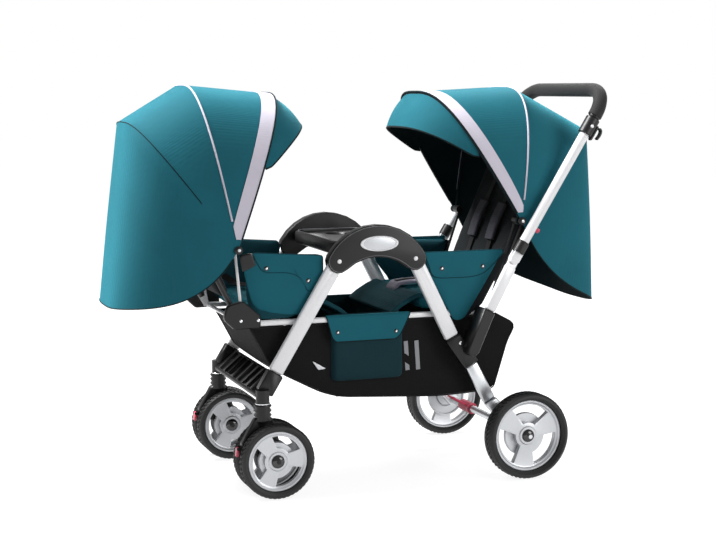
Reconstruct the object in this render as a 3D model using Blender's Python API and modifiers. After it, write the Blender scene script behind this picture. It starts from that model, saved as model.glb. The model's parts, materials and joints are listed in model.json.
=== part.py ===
"""Tandem stroller: two seats that face each other over one footwell, on a folding frame with six wheels.

Metres, +Z up, +X towards the push handle, Y across, with the left side at -Y as seen by whoever pushes.
Everything is laid out from the middle of the side arches. At the end the whole is moved so that the
origin is the middle of its footprint.
"""

import math

import bmesh
import bpy
from mathutils import Matrix, Vector

LEFT, RIGHT = -1, 1
SIDES = {"left": LEFT, "right": RIGHT}

# Half the width of the seats, from which all the layers at each side are laid out
SEAT_HALF_WIDTH = 0.2085

# Clearances
GAP = 0.0003
SLIDE_GAP = 0.0005
FABRIC_GAP = 0.0007

# Side arches
ARCH_OUTER_Y = SEAT_HALF_WIDTH + 0.0251
ARCH_DEPTH = 0.029
ARCH_WALL = 0.003
ARCH_RISE = 0.0965
ARCH_BAND = 0.0885
LOBE_R = 0.033
LEG_PIVOT_X = 0.111
LEG_PIVOT_Z = 0.628
ARCH_CREST = LEG_PIVOT_Z + ARCH_RISE
ARCH_HOLLOW = ARCH_CREST - ARCH_BAND
PIVOT_PIN_R = 0.005

# Legs
LEG_WIDTH = 0.042
LEG_THICKNESS = 0.018
FRONT_LEG_FOOT = (-0.2895, 0.3335)
REAR_LEG_FOOT = (0.2255, 0.401)
STRUT_TOP = (0.2843, 0.3207)
STRUT_FOOT = (0.3427, 0.2135)
STRUT_WIDTH = 0.038
JOINT_WIDTH = 0.046
JOINT_INNER_Y = SEAT_HALF_WIDTH + 0.002

# Rear wheels and axle
REAR_WHEEL_R = 0.1225
REAR_TYRE_WIDTH = 0.056
REAR_TYRE_DEPTH = 0.021
REAR_WHEEL_Y = SEAT_HALF_WIDTH + 0.087
REAR_AXLE_X = 0.424
AXLE_TUBE_R = 0.011
AXLE_PIN_R = 0.006

# Front casters
FRONT_WHEEL_R = 0.102
FRONT_TYRE_WIDTH = 0.036
FRONT_TYRE_DEPTH = 0.0195
FRONT_AXLE_X = -0.300
SWIVEL_X = -0.330
CASTER_Y = SEAT_HALF_WIDTH + 0.0271
TWIN_OFFSET = 0.033
FORK_THICKNESS = 0.022
SWIVEL_TOP = 0.2555
STEM_R = 0.007
BELLOWS_R = 0.019
BELLOWS_RIB = 0.005
BELLOWS_RIBS = 4
BELLOWS_LENGTH = 0.050

# Front step
STEP_BACK = (-0.283, 0.318)
STEP_FRONT = (-0.338, 0.272)
STEP_THICKNESS = 0.014
STEP_RIBS = 8
STEP_RIB_HEIGHT = 0.006

# Seat frames
RAIL_R = 0.008
RAIL_Y = SEAT_HALF_WIDTH - 0.0125
RAIL_Z = 0.465
CROSSBAR_R = 0.006
UPRIGHT_R = 0.004
TONGUE_LENGTH = 0.036
RAIL_PIN_R = 0.004
RECLINE_PIN_R = 0.0035
FRONT_SEAT_FRAME = {
    "end": -1,
    "rail_end": -0.372,
    "crossbar": -0.255,
    "recline": (-0.392, 0.498),
    "canopy": (-0.393, 0.669),
}
REAR_SEAT_FRAME = {
    "end": 1,
    "rail_end": 0.352,
    "crossbar": 0.245,
    "recline": (0.372, 0.498),
    "canopy": (0.430, 0.722),
}

# Push handle
PUSH_Y = SEAT_HALF_WIDTH + 0.055
PUSH_TUBE_FOOT = (0.3205, 0.4780)
HANDLE_PIVOT = (0.394, 0.617)
PUSH_TUBE_WIDTH = 0.033
HANDLE_LEAN = 31.7
OUTER_TUBE_R = 0.014
OUTER_TUBE_BORE = 0.0134
CLAMP_WALL = 0.005
OUTER_TUBE_START = 0.024
OUTER_TUBE_END = 0.455
BAR_R = 0.0125
BAR_INSERT = 0.205
BAR_START = OUTER_TUBE_END - BAR_INSERT
BORE_START = BAR_START - 0.110
LOCK_HINGE = (-0.401, 0.1375)
LOCK_WIDTH = 0.016
LOCK_CHEEK = 0.003
LOCK_PIN_R = 0.0015
BUTTON_PLACE = 0.105
BUTTON_R = 0.007
BUTTON_DEPTH = 0.007
BUTTON_TRAVEL = 0.004
BUTTON_LENGTH = 0.012
LEVER_THICKNESS = 0.008
BAR_REACH = 0.098
BAR_CROSS = OUTER_TUBE_END + BAR_REACH
BAR_CORNER_RISE = BAR_REACH * 0.8367
BAR_CORNER_SPREAD = 0.100
GRIP_R = 0.020
GRIP_END = OUTER_TUBE_END + 0.011
CHEEK_R = 0.016
TONGUE_THICKNESS = 0.008

# Canopies
CANOPY_HALF_WIDTH = SEAT_HALF_WIDTH + 0.0232
BOW_R = 0.0035
BOW_STEP = 0.007
HUB_R = 0.012
HUB_THICKNESS = 0.0064
FABRIC = 0.0015
CANOPY_SQUARENESS = 3.2
VISOR_THICKNESS = 0.003
SEAM = 0.06
# Each arch of a canopy: its degrees from upright towards the middle of the stroller, and its reach
FRONT_CANOPY = {
    "visor": (35.5, 0.393),
    "front": (15.9, 0.428),
    "middle": (-12.2, 0.436),
    "back": (-37.6, 0.415),
    "hem": (-117.0, 0.348),
    "hem_drop": 30.0,
}
REAR_CANOPY = {
    "visor": (47.5, 0.386),
    "front": (32.5, 0.421),
    "middle": (-6.2, 0.371),
    "back": (-46.0, 0.366),
    "hem": (-130.5, 0.390),
    "hem_drop": 24.0,
}

# Seats
FRONT_CUSHION = (-0.345, -0.150)
REAR_CUSHION = (0.146, 0.338)
SIDE_PANEL = 0.026
FRONT_PANEL = (
    (-0.340, 0.4735, 0.030),
    (-0.215, 0.4735, 0.040),
    (-0.150, 0.590, 0.030),
    (-0.150, 0.648, 0.014),
    (-0.368, 0.654, 0.014),
    (-0.368, 0.530, 0.030),
)
REAR_PANEL = (
    (0.230, 0.4735, 0.020),
    (0.300, 0.4735, 0.030),
    (0.388, 0.612, 0.020),
    (0.388, 0.634, 0.008),
    (0.147, 0.640, 0.014),
    (0.147, 0.580, 0.030),
)
CUSHION_THICKNESS = 0.050
BACKREST_THICKNESS = 0.030
BACKREST_TUBE_R = 0.0075
BACKREST_TUBE_Y = SEAT_HALF_WIDTH - 0.0265
FRONT_BACKREST_LEAN = -27.0
REAR_BACKREST_LEAN = 23.0
BACKREST_LENGTH = 0.420

# Footwell, basket and tray
FOOTWELL_TOP = 0.477
FOOTWELL_CORNERS = ((-0.122, 0.292, 0.030), (0.090, 0.292, 0.030), (0.090, FOOTWELL_TOP, 0), (-0.122, FOOTWELL_TOP, 0))
FOOTWELL_WALL = 0.003
CHANNEL_FLOOR = 0.447
BASKET_HALF_WIDTH = SEAT_HALF_WIDTH - 0.0225
BASKET_FABRIC = 0.002
BASKET_FLOOR = ((-0.118, 0.2454), (0.204, 0.2255))
BOARD_FRONT = -0.104
BOARD_REAR = 0.199
BOARD_HALF_WIDTH = SEAT_HALF_WIDTH - 0.0265
BOARD_RIM = 0.024
BOARD_WALL = 0.004
TRAY_LENGTH = 0.220
TRAY_TOP = LEG_PIVOT_Z + 0.041
TRAY_DEPTH = 0.030
TRAY_RIM = 0.007

# Facets
WHEEL_SIDES = 20
HUB_SIDES = 12
PIN_SIDES = 8
ARCH_STEPS = 7
SHARP_EDGE = 50

for old in list(bpy.data.objects):
    bpy.data.objects.remove(old)

PARTS = bpy.data.collections.new("tandem_stroller")
HELPERS = bpy.data.collections.new("cutters_and_joined_pieces")
for collection in (PARTS, HELPERS):
    bpy.context.scene.collection.children.link(collection)


# Materials

def finish(name, colour, roughness, metallic=0.0):
    """A Principled material."""
    material = bpy.data.materials.new(name)
    material.use_nodes = True
    shader = material.node_tree.nodes["Principled BSDF"]
    shader.inputs["Base Color"].default_value = (*colour, 1)
    shader.inputs["Roughness"].default_value = roughness
    shader.inputs["Metallic"].default_value = metallic
    material.diffuse_color = (*colour, 1)
    return material


TEAL = finish("teal_fabric", (0.022, 0.19, 0.24), 0.75)
DARK_TEAL = finish("dark_teal_fabric", (0.010, 0.045, 0.055), 0.85)
BLACK_FABRIC = finish("black_fabric", (0.012, 0.012, 0.013), 0.9)
WHITE = finish("white_painted_tube", (0.82, 0.82, 0.84), 0.3)
SILVER = finish("silver_tube", (0.60, 0.61, 0.62), 0.35, 0.9)
RIM_GREY = finish("grey_rim", (0.50, 0.50, 0.52), 0.4)
BLACK = finish("black_plastic", (0.022, 0.022, 0.024), 0.5)
RUBBER = finish("tyre_rubber", (0.016, 0.016, 0.017), 0.85)
FOAM = finish("foam_grip", (0.014, 0.014, 0.015), 0.95)
PINK = finish("pink_plastic", (0.68, 0.07, 0.16), 0.4)


# Points and outlines

def heading(angle):
    """The direction, in X and Z, that leans this many degrees from upright towards the handle."""
    return Vector((math.sin(math.radians(angle)), math.cos(math.radians(angle))))


def along(start, end, distance):
    """The point this far from start towards end."""
    start, end = Vector(start), Vector(end)
    return start + (end - start).normalized() * distance


def arc(centre, radius, start, end, steps):
    """Points on an arc, with the angles in degrees from +X towards +Z."""
    points = []
    for step in range(steps + 1):
        angle = math.radians(start + (end - start) * step / steps)
        points.append((centre[0] + radius * math.cos(angle), centre[1] + radius * math.sin(angle)))
    return points


def sideways(start, end, distance):
    """The vector of this length to the left of the way from start to end."""
    way = Vector(end) - Vector(start)
    return Vector((-way.y, way.x)).normalized() * distance


def bar_outline(start, end, width, round_start=False, round_end=False, before=None, after=None):
    """A straight bar between two points, whose ends are square or half round.

    A square end that butts against another bar is cut square to that bar, which runs from the
    point before the start or on to the point after the end.
    """
    start, end = Vector(start), Vector(end)
    angle = math.degrees(math.atan2(end.y - start.y, end.x - start.x))
    if round_start:
        outline = arc(start, width / 2, angle + 90, angle + 270, 4)
    else:
        side = sideways(before or start, start if before else end, width / 2)
        outline = [tuple(start + side), tuple(start - side)]
    if round_end:
        outline += arc(end, width / 2, angle - 90, angle + 90, 4)
    else:
        side = sideways(end if after else start, after or end, width / 2)
        outline += [tuple(end - side), tuple(end + side)]
    return outline


def filleted(corners, steps=2):
    """A closed outline from (x, z, radius) corners, each turned with an arc of that radius."""
    outline = []
    for index, (x, z, radius) in enumerate(corners):
        corner = Vector((x, z))
        before = Vector(corners[index - 1][:2])
        after = Vector(corners[(index + 1) % len(corners)][:2])
        inward, outward = (before - corner).normalized(), (after - corner).normalized()
        if radius == 0:
            outline.append(tuple(corner))
            continue
        half = inward.angle(outward) / 2
        centre = corner + (inward + outward).normalized() * radius / math.sin(half)
        first = corner + inward * radius / math.tan(half) - centre
        last = corner + outward * radius / math.tan(half) - centre
        turn = first.angle_signed(last)
        for step in range(steps + 1):
            swing = Matrix.Rotation(-turn * step / steps, 2)
            outline.append(tuple(centre + swing @ first))
    return outline


def inset(corners, distance):
    """The corners of an anticlockwise outline moved inwards by a distance, with their radii cut to suit."""
    moved = []
    for index, (x, z, radius) in enumerate(corners):
        corner = Vector((x, z))
        into = (corner - Vector(corners[index - 1][:2])).normalized()
        out = (Vector(corners[(index + 1) % len(corners)][:2]) - corner).normalized()
        normal = Vector((-into.y - out.y, into.x + out.x))
        normal = normal.normalized() * distance / math.cos(into.angle(out) / 2)
        moved.append((x + normal.x, z + normal.y, max(radius - distance, 0)))
    return moved


# Pieces: each function returns a mesh object whose points are where they lie

def helper(data):
    obj = bpy.data.objects.new("piece", data)
    HELPERS.objects.link(obj)
    return obj


def settled(obj):
    """The object as a welded mesh at the origin, with its modifiers and its place worked in."""
    bpy.context.view_layer.update()
    graph = bpy.context.evaluated_depsgraph_get()
    mesh = bpy.data.meshes.new_from_object(obj.evaluated_get(graph))
    mesh.transform(obj.matrix_world)
    bpy.data.objects.remove(obj)
    shape = bmesh.new()
    shape.from_mesh(mesh)
    bmesh.ops.remove_doubles(shape, verts=shape.verts, dist=1e-5)
    bmesh.ops.recalc_face_normals(shape, faces=shape.faces)
    shape.to_mesh(mesh)
    shape.free()
    return helper(mesh)


def soften(obj, width, segments):
    """Rounds the edges of a flat piece, but not the facets of its outline."""
    shape = bmesh.new()
    shape.from_mesh(obj.data)
    edges = [e for e in shape.edges if e.calc_face_angle(0) > math.radians(SHARP_EDGE)]
    bmesh.ops.bevel(shape, geom=edges, offset=width, segments=segments, affect="EDGES", profile=0.5)
    bmesh.ops.triangulate(shape, faces=[f for f in shape.faces if len(f.verts) > 4])
    shape.to_mesh(obj.data)
    shape.free()
    return obj


def plate(outline, first_y, last_y, edge=0.0, segments=1):
    """A flat piece with its outline in X and Z and its thickness along Y."""
    curve = bpy.data.curves.new("plate", "CURVE")
    curve.dimensions = "2D"
    curve.fill_mode = "BOTH"
    curve.extrude = abs(last_y - first_y) / 2
    spline = curve.splines.new("POLY")
    spline.points.add(len(outline) - 1)
    for point, (x, z) in zip(spline.points, outline):
        point.co = (x, z, 0, 1)
    spline.use_cyclic_u = True
    obj = helper(curve)
    obj.rotation_euler.x = math.radians(90)
    obj.location.y = (first_y + last_y) / 2
    obj = settled(obj)
    return soften(obj, edge, segments) if edge else obj


def slab(outline, low, high, edge=0.0, segments=1):
    """A flat piece with its outline in X and Y and its thickness along Z."""
    obj = plate(outline, -high, -low, edge, segments)
    obj.data.transform(Matrix.Rotation(math.radians(-90), 4, "X"))
    return obj


def tube(points, radius, resolution=2):
    """A round tube along points, with closed ends."""
    curve = bpy.data.curves.new("tube", "CURVE")
    curve.dimensions = "3D"
    curve.bevel_depth = radius
    curve.bevel_resolution = resolution
    curve.use_fill_caps = True
    spline = curve.splines.new("POLY")
    spline.points.add(len(points) - 1)
    for point, place in zip(spline.points, points):
        point.co = (*place, 1)
    return settled(helper(curve))


def rod(start, end, radius, sides=PIN_SIDES):
    """A cylinder between two points."""
    start, end = Vector(start), Vector(end)
    shape = bmesh.new()
    depth = (end - start).length
    bmesh.ops.create_cone(shape, cap_ends=True, segments=sides, radius1=radius, radius2=radius, depth=depth)
    mesh = bpy.data.meshes.new("rod")
    shape.to_mesh(mesh)
    shape.free()
    turn = (end - start).to_track_quat("Z", "Y").to_matrix().to_4x4()
    mesh.transform(Matrix.Translation((start + end) / 2) @ turn)
    return helper(mesh)


def block(size, centre, lean=0.0, edge=0.0, segments=2):
    """A box that leans by degrees from upright towards the handle."""
    shape = bmesh.new()
    bmesh.ops.create_cube(shape, size=1)
    bmesh.ops.scale(shape, vec=size, verts=shape.verts)
    mesh = bpy.data.meshes.new("block")
    shape.to_mesh(mesh)
    shape.free()
    obj = helper(mesh)
    if edge:
        soften(obj, edge, segments)
    mesh.transform(Matrix.Translation(centre) @ Matrix.Rotation(math.radians(lean), 4, "Y"))
    return obj


def turned(profile, centre, sides, upright=False):
    """A (radius, offset) profile turned about an axle along Y, or about an upright one.

    The flats of the outside, not its corners, lie at the stated radius, and one flat faces down.
    A profile that starts and ends on the axis stays open there.
    """
    mesh = bpy.data.meshes.new("profile")
    widen = 1 / math.cos(math.pi / sides)
    points = [(radius * widen, 0, offset) for radius, offset in profile]
    edges = [(i, i + 1) for i in range(len(points) - 1)]
    if profile[0][0] > 0:
        edges.append((len(points) - 1, 0))
    mesh.from_pydata(points, edges, [])
    obj = helper(mesh)
    screw = obj.modifiers.new("turn", "SCREW")
    screw.steps = screw.render_steps = sides
    screw.use_merge_vertices = True
    screw.merge_threshold = 1e-5
    obj.location = centre
    if not upright:
        obj.rotation_euler = (math.radians(-90), math.pi / sides, 0)
    return settled(obj)


def cushion(size, centre, lean, crown, cuts=4):
    """A pad whose top swells to a crown and whose sides are drawn in."""
    shape = bmesh.new()
    bmesh.ops.create_cube(shape, size=1)
    bmesh.ops.subdivide_edges(shape, edges=shape.edges, cuts=cuts, use_grid_fill=True)
    for vert in shape.verts:
        u, v, w = 2 * vert.co.x, 2 * vert.co.y, 2 * vert.co.z
        swell = (1 - u**4) * (1 - v**4)
        draw = 1 - 0.06 * w * w
        vert.co.x = size[0] / 2 * u * draw
        vert.co.y = size[1] / 2 * v * draw
        vert.co.z = size[2] / 2 * w * (1 - crown + crown * swell)
    mesh = bpy.data.meshes.new("cushion")
    shape.to_mesh(mesh)
    shape.free()
    mesh.transform(Matrix.Translation(centre) @ Matrix.Rotation(math.radians(lean), 4, "Y"))
    return helper(mesh)


def node(name, material, axis, pieces, cuts=(), pins=()):
    """Joins pieces into one named part, cuts it, adds its pins and hangs it all from its joint's empty."""
    part = pieces[0]
    part.name = name
    part.data.name = name
    HELPERS.objects.unlink(part)
    PARTS.objects.link(part)
    part.data.materials.clear()
    part.data.materials.append(material)
    for label, operation, others in (
        ("joined", "UNION", pieces[1:]),
        ("cut", "DIFFERENCE", cuts),
        ("pin", "UNION", pins),
    ):
        for number, other in enumerate(others):
            modifier = part.modifiers.new(f"{label} {number}", "BOOLEAN")
            modifier.operation = operation
            modifier.object = other
            other.name = f"{name} {label} {number}"
            other.hide_render = True
            other.display_type = "WIRE"
    for obj in (*pieces, *cuts, *pins):
        obj.parent = axis
        obj.matrix_parent_inverse = axis.matrix_world.inverted()
    part.data.shade_smooth()
    part.data.set_sharp_from_angle(angle=math.radians(35))


def joint_axis(name, place, parent=None):
    """An empty on a joint's axis."""
    empty = bpy.data.objects.new(name, None)
    PARTS.objects.link(empty)
    empty.empty_display_size = 0.03
    empty.location = place
    if parent is not None:
        empty.location = Vector(place) - parent.matrix_world.translation
        empty.parent = parent
    bpy.context.view_layer.update()
    return empty


# Joint axes

def leg_lean(foot):
    """The degrees from upright of a leg drawn from its hinge to its foot."""
    return math.degrees(math.atan2(abs(foot[0]) - LEG_PIVOT_X, LEG_PIVOT_Z - foot[1]))


def rail_pivot(end, foot):
    """Where a leg crosses the rails."""
    return end * (LEG_PIVOT_X + math.tan(math.radians(leg_lean(foot))) * (LEG_PIVOT_Z - RAIL_Z))


FRONT_RAIL_PIVOT_X = rail_pivot(-1, FRONT_LEG_FOOT)
REAR_RAIL_PIVOT_X = rail_pivot(1, REAR_LEG_FOOT)
LEG_INNER_Y = ARCH_OUTER_Y - (ARCH_DEPTH + LEG_THICKNESS) / 2
LEG_OUTER_Y = LEG_INNER_Y + LEG_THICKNESS
HANDLE_DIRECTION = heading(HANDLE_LEAN)


def on_handle(distance, across=0.0):
    """A point this far up the push handle from its fold hinge, and this far across."""
    spot = Vector(HANDLE_PIVOT) + HANDLE_DIRECTION * distance
    return (spot.x, across, spot.y)


ROOT = joint_axis("stroller", (0, 0, 0))
FRONT_FOLD = joint_axis("front_leg_axis", (-LEG_PIVOT_X, 0, LEG_PIVOT_Z), ROOT)
REAR_FOLD = joint_axis("rear_leg_axis", (LEG_PIVOT_X, 0, LEG_PIVOT_Z), ROOT)
FRONT_SEAT_AXIS = joint_axis("front_seat_axis", (FRONT_RAIL_PIVOT_X, 0, RAIL_Z), FRONT_FOLD)
REAR_SEAT_AXIS = joint_axis("rear_seat_axis", (REAR_RAIL_PIVOT_X, 0, RAIL_Z), REAR_FOLD)
HANDLE_FOLD = joint_axis("handle_axis", (HANDLE_PIVOT[0], 0, HANDLE_PIVOT[1]), REAR_FOLD)
HANDLE_SLIDE = joint_axis("handle_slide_axis", on_handle(OUTER_TUBE_END), HANDLE_FOLD)
REAR_AXLE = joint_axis("rear_axle_axis", (REAR_AXLE_X, 0, REAR_WHEEL_R), REAR_FOLD)


# Arches and legs

def tangent_arc(crest, lobe):
    """The height of the centre of an arc through a crest that touches both lobes, and its radius."""
    reach = crest - lobe
    height = (reach**2 - LEG_PIVOT_X**2 - LEG_PIVOT_Z**2) / (2 * (reach - LEG_PIVOT_Z))
    return height, crest - height


def arch_outline():
    top, top_r = tangent_arc(ARCH_CREST, LOBE_R)
    low, low_r = tangent_arc(ARCH_HOLLOW, -LOBE_R)
    over = math.degrees(math.atan2(LEG_PIVOT_Z - top, LEG_PIVOT_X))
    under = math.degrees(math.atan2(LEG_PIVOT_Z - low, LEG_PIVOT_X))
    outline = arc((LEG_PIVOT_X, LEG_PIVOT_Z), LOBE_R, under - 180, over, 6)
    outline += arc((0, top), top_r, over, 180 - over, 10)[1:]
    outline += arc((-LEG_PIVOT_X, LEG_PIVOT_Z), LOBE_R, 180 - over, 360 - under, 6)[1:]
    outline += arc((0, low), low_r, 180 - under, under, 6)[1:-1]
    return outline


def arch_pocket():
    """The space between an arch's two skins, open below along both legs, where the legs turn."""
    top, top_r = tangent_arc(ARCH_CREST, LOBE_R)
    over = math.degrees(math.atan2(LEG_PIVOT_Z - top, LEG_PIVOT_X))
    lobe = LOBE_R - ARCH_WALL
    rear, front = leg_lean(REAR_LEG_FOOT), leg_lean(FRONT_LEG_FOOT)
    outline = arc((LEG_PIVOT_X, LEG_PIVOT_Z), lobe, rear, over, 2)
    outline += arc((0, top), top_r - ARCH_WALL, over, 180 - over, 8)[1:]
    outline += arc((-LEG_PIVOT_X, LEG_PIVOT_Z), lobe, 180 - over, 180 - front, 2)[1:]
    first = Vector(outline[0]) + heading(180 - rear) * 4 * LOBE_R
    last = Vector(outline[-1]) + heading(180 + front) * 4 * LOBE_R
    return [tuple(first), *outline, tuple(last)]


def arch(name, side):
    outer, inner = side * ARCH_OUTER_Y, side * (ARCH_OUTER_Y - ARCH_DEPTH)
    skins = plate(arch_outline(), outer, inner, edge=0.003)
    pins = []
    for end in (-1, 1):
        x = end * LEG_PIVOT_X
        inside = side * ARCH_WALL / 2
        pins.append(rod((x, outer - inside, LEG_PIVOT_Z), (x, inner + inside, LEG_PIVOT_Z), PIVOT_PIN_R))
    pocket = plate(arch_pocket(), outer - side * ARCH_WALL, inner + side * ARCH_WALL)
    node(f"arch_cover_{name}", BLACK, ROOT, [skins], [pocket], pins)


def pivot_hole(x, z, side, radius):
    """A cutter for a hole whose flats clear the corners of a pin that turns in it."""
    return rod((x, side * 0.15, z), (x, side * 0.30, z), (radius + GAP) / math.cos(math.pi / PIN_SIDES))


def rail_pin(x, side):
    """The pin of a leg that carries a seat rail."""
    start = side * (LEG_INNER_Y + LEG_THICKNESS / 2)
    return rod((x, start, RAIL_Z), (x, side * (RAIL_Y - RAIL_R), RAIL_Z), RAIL_PIN_R)


def leg(name, side, end, foot, rail_x, axis):
    pivot = (end * LEG_PIVOT_X, LEG_PIVOT_Z)
    outline = bar_outline(pivot, foot, LEG_WIDTH, round_start=True)
    body = plate(outline, side * LEG_INNER_Y, side * LEG_OUTER_Y, edge=0.006, segments=2)
    hole = pivot_hole(*pivot, side, PIVOT_PIN_R)
    node(name, WHITE, axis, [body, rail_pin(rail_x, side)], [hole])


def rear_frame(name, side):
    """The black joint under the rear leg, the silver strut below it and the push tube above it."""
    outer = side * ARCH_OUTER_Y
    inner = side * JOINT_INNER_Y
    pivot = (LEG_PIVOT_X, LEG_PIVOT_Z)
    start = along(REAR_LEG_FOOT, pivot, -GAP)
    outline = bar_outline(start, STRUT_TOP, JOINT_WIDTH, before=pivot, after=STRUT_FOOT)
    sleeve = plate(outline, inner, outer, edge=0.004)
    root = (0.272, 0.368)
    top = along(PUSH_TUBE_FOOT, HANDLE_PIVOT, -GAP)
    outline = bar_outline(root, top, 0.036, round_start=True, after=HANDLE_PIVOT)
    branch = plate(outline, inner, side * (PUSH_Y + LEG_THICKNESS / 2), edge=0.004)
    node(f"rear_joint_{name}", BLACK, REAR_FOLD, [sleeve, branch])
    strut = plate(
        bar_outline(along(STRUT_TOP, STRUT_FOOT, GAP), STRUT_FOOT, STRUT_WIDTH),
        side * LEG_INNER_Y,
        side * LEG_OUTER_Y,
        edge=0.006,
        segments=2,
    )
    node(f"rear_strut_{name}", SILVER, REAR_FOLD, [strut])
    half = LEG_THICKNESS / 2
    shoulder = along(HANDLE_PIVOT, PUSH_TUBE_FOOT, CHEEK_R + 0.004)
    push = plate(
        bar_outline(PUSH_TUBE_FOOT, shoulder, PUSH_TUBE_WIDTH),
        side * (PUSH_Y - half),
        side * (PUSH_Y + half),
        edge=0.006,
        segments=2,
    )
    thin = TONGUE_THICKNESS / 2
    tongue = plate(
        bar_outline(along(shoulder, PUSH_TUBE_FOOT, 0.012), HANDLE_PIVOT, 0.028, round_end=True),
        side * (PUSH_Y - thin),
        side * (PUSH_Y + thin),
    )
    hole = pivot_hole(*HANDLE_PIVOT, side, RAIL_PIN_R)
    node(f"push_tube_{name}", WHITE, REAR_FOLD, [push, tongue], [hole])


def rear_axle():
    """The silver axle tube with the black brackets that hang it from the struts."""
    centre = (REAR_AXLE_X, REAR_WHEEL_R)
    tube_end = REAR_WHEEL_Y - 0.0755
    bar = rod((centre[0], -tube_end, centre[1]), (centre[0], tube_end, centre[1]), AXLE_TUBE_R, HUB_SIDES)
    pieces = [bar]
    for side in SIDES.values():
        start = along(STRUT_FOOT, STRUT_TOP, -GAP)
        outline = bar_outline(start, centre, STRUT_WIDTH, round_end=True, before=STRUT_TOP)
        pieces.append(plate(outline, side * JOINT_INNER_Y, side * ARCH_OUTER_Y, edge=0.003))
        wheel_inner = REAR_WHEEL_Y - REAR_TYRE_WIDTH / 2
        inner, spacer = side * (ARCH_OUTER_Y - 0.01), side * (wheel_inner - GAP)
        end = side * (REAR_WHEEL_Y + REAR_TYRE_WIDTH / 2)
        pieces.append(rod((centre[0], inner, centre[1]), (centre[0], spacer, centre[1]), 0.010))
        pieces.append(rod((centre[0], inner, centre[1]), (centre[0], end, centre[1]), AXLE_PIN_R))
    node("rear_axle", SILVER, REAR_FOLD, pieces)


def brake_pedal():
    """A cross bar that turns on the rear axle tube, with a red-tipped pedal."""
    x, z = REAR_AXLE_X, REAR_WHEEL_R
    hub_r = AXLE_TUBE_R + 0.006
    hub = rod((x, 0.075, z), (x, 0.145, z), hub_r, HUB_SIDES)
    bore_r = (AXLE_TUBE_R + SLIDE_GAP) / math.cos(math.pi / HUB_SIDES)
    bore = rod((x, 0.05, z), (x, 0.17, z), bore_r, HUB_SIDES)
    arm = block((0.055, 0.040, 0.008), (x - 0.036, 0.11, z + 0.022), lean=28, edge=0.003, segments=1)
    node("brake_pedal", PINK, joint_axis("brake_axis", (x, 0.11, z), REAR_AXLE), [hub, arm], [bore])


# Wheels

def tyre_profile(radius, width, depth):
    half = width / 2
    inner = radius - depth
    return [
        (inner, -half * 0.72),
        (inner, half * 0.72),
        (radius - depth * 0.32, half),
        (radius, half * 0.62),
        (radius, -half * 0.62),
        (radius - depth * 0.32, -half),
    ]


def rim_profile(radius, width, face):
    """A rim whose web lies towards its face side, with a bored hub."""
    half = width / 2 * 0.70
    ring = radius - 0.008
    hub = 0.020
    bore = AXLE_PIN_R + GAP
    return [
        (bore, -face * width / 2),
        (hub, -face * width / 2),
        (hub, face * half * 0.3),
        (ring, face * half * 0.3),
        (ring, -face * half),
        (radius, -face * half),
        (radius, face * half),
        (bore, face * half * 0.9),
    ]


def wheel(name, radius, width, depth, centre, face, first_window, parent):
    """A tyre and a rim with three wide windows, both on one spin axis."""
    axis = joint_axis(f"{name}_axis", centre, parent)
    node(f"{name}_tyre", RUBBER, axis, [turned(tyre_profile(radius, width, depth), centre, WHEEL_SIDES)])
    rim_r = radius - depth - GAP
    rim = turned(rim_profile(rim_r, width, face), centre, WHEEL_SIDES)
    inner, outer = 0.036, rim_r - 0.013
    windows = []
    for number in range(3):
        middle = first_window + 120 * number
        wide, narrow = 39, 30
        outline = arc((0, 0), outer, middle - wide, middle + wide, 4)
        outline += arc((0, 0), inner, middle + narrow, middle - narrow, 2)
        window = plate(outline, -width, width)
        window.data.transform(Matrix.Translation(centre))
        windows.append(window)
    node(f"{name}_rim", RIM_GREY, axis, [rim], windows)


def rear_wheels():
    for name, side in SIDES.items():
        centre = Vector((REAR_AXLE_X, side * REAR_WHEEL_Y, REAR_WHEEL_R))
        wheel(f"rear_wheel_{name}", REAR_WHEEL_R, REAR_TYRE_WIDTH, REAR_TYRE_DEPTH, centre, side, 83, REAR_FOLD)


def bellows(centre):
    """Ribs from the top of the swivel down to the fork, round a solid core."""
    pitch = BELLOWS_LENGTH / BELLOWS_RIBS
    profile = [(0, 0), (BELLOWS_R, 0)]
    for rib in range(BELLOWS_RIBS):
        profile.append((BELLOWS_R + BELLOWS_RIB, -(rib + 0.5) * pitch))
        profile.append((BELLOWS_R, -(rib + 1) * pitch))
    profile.append((0, -BELLOWS_LENGTH))
    return turned(profile, centre, HUB_SIDES, upright=True)


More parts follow.
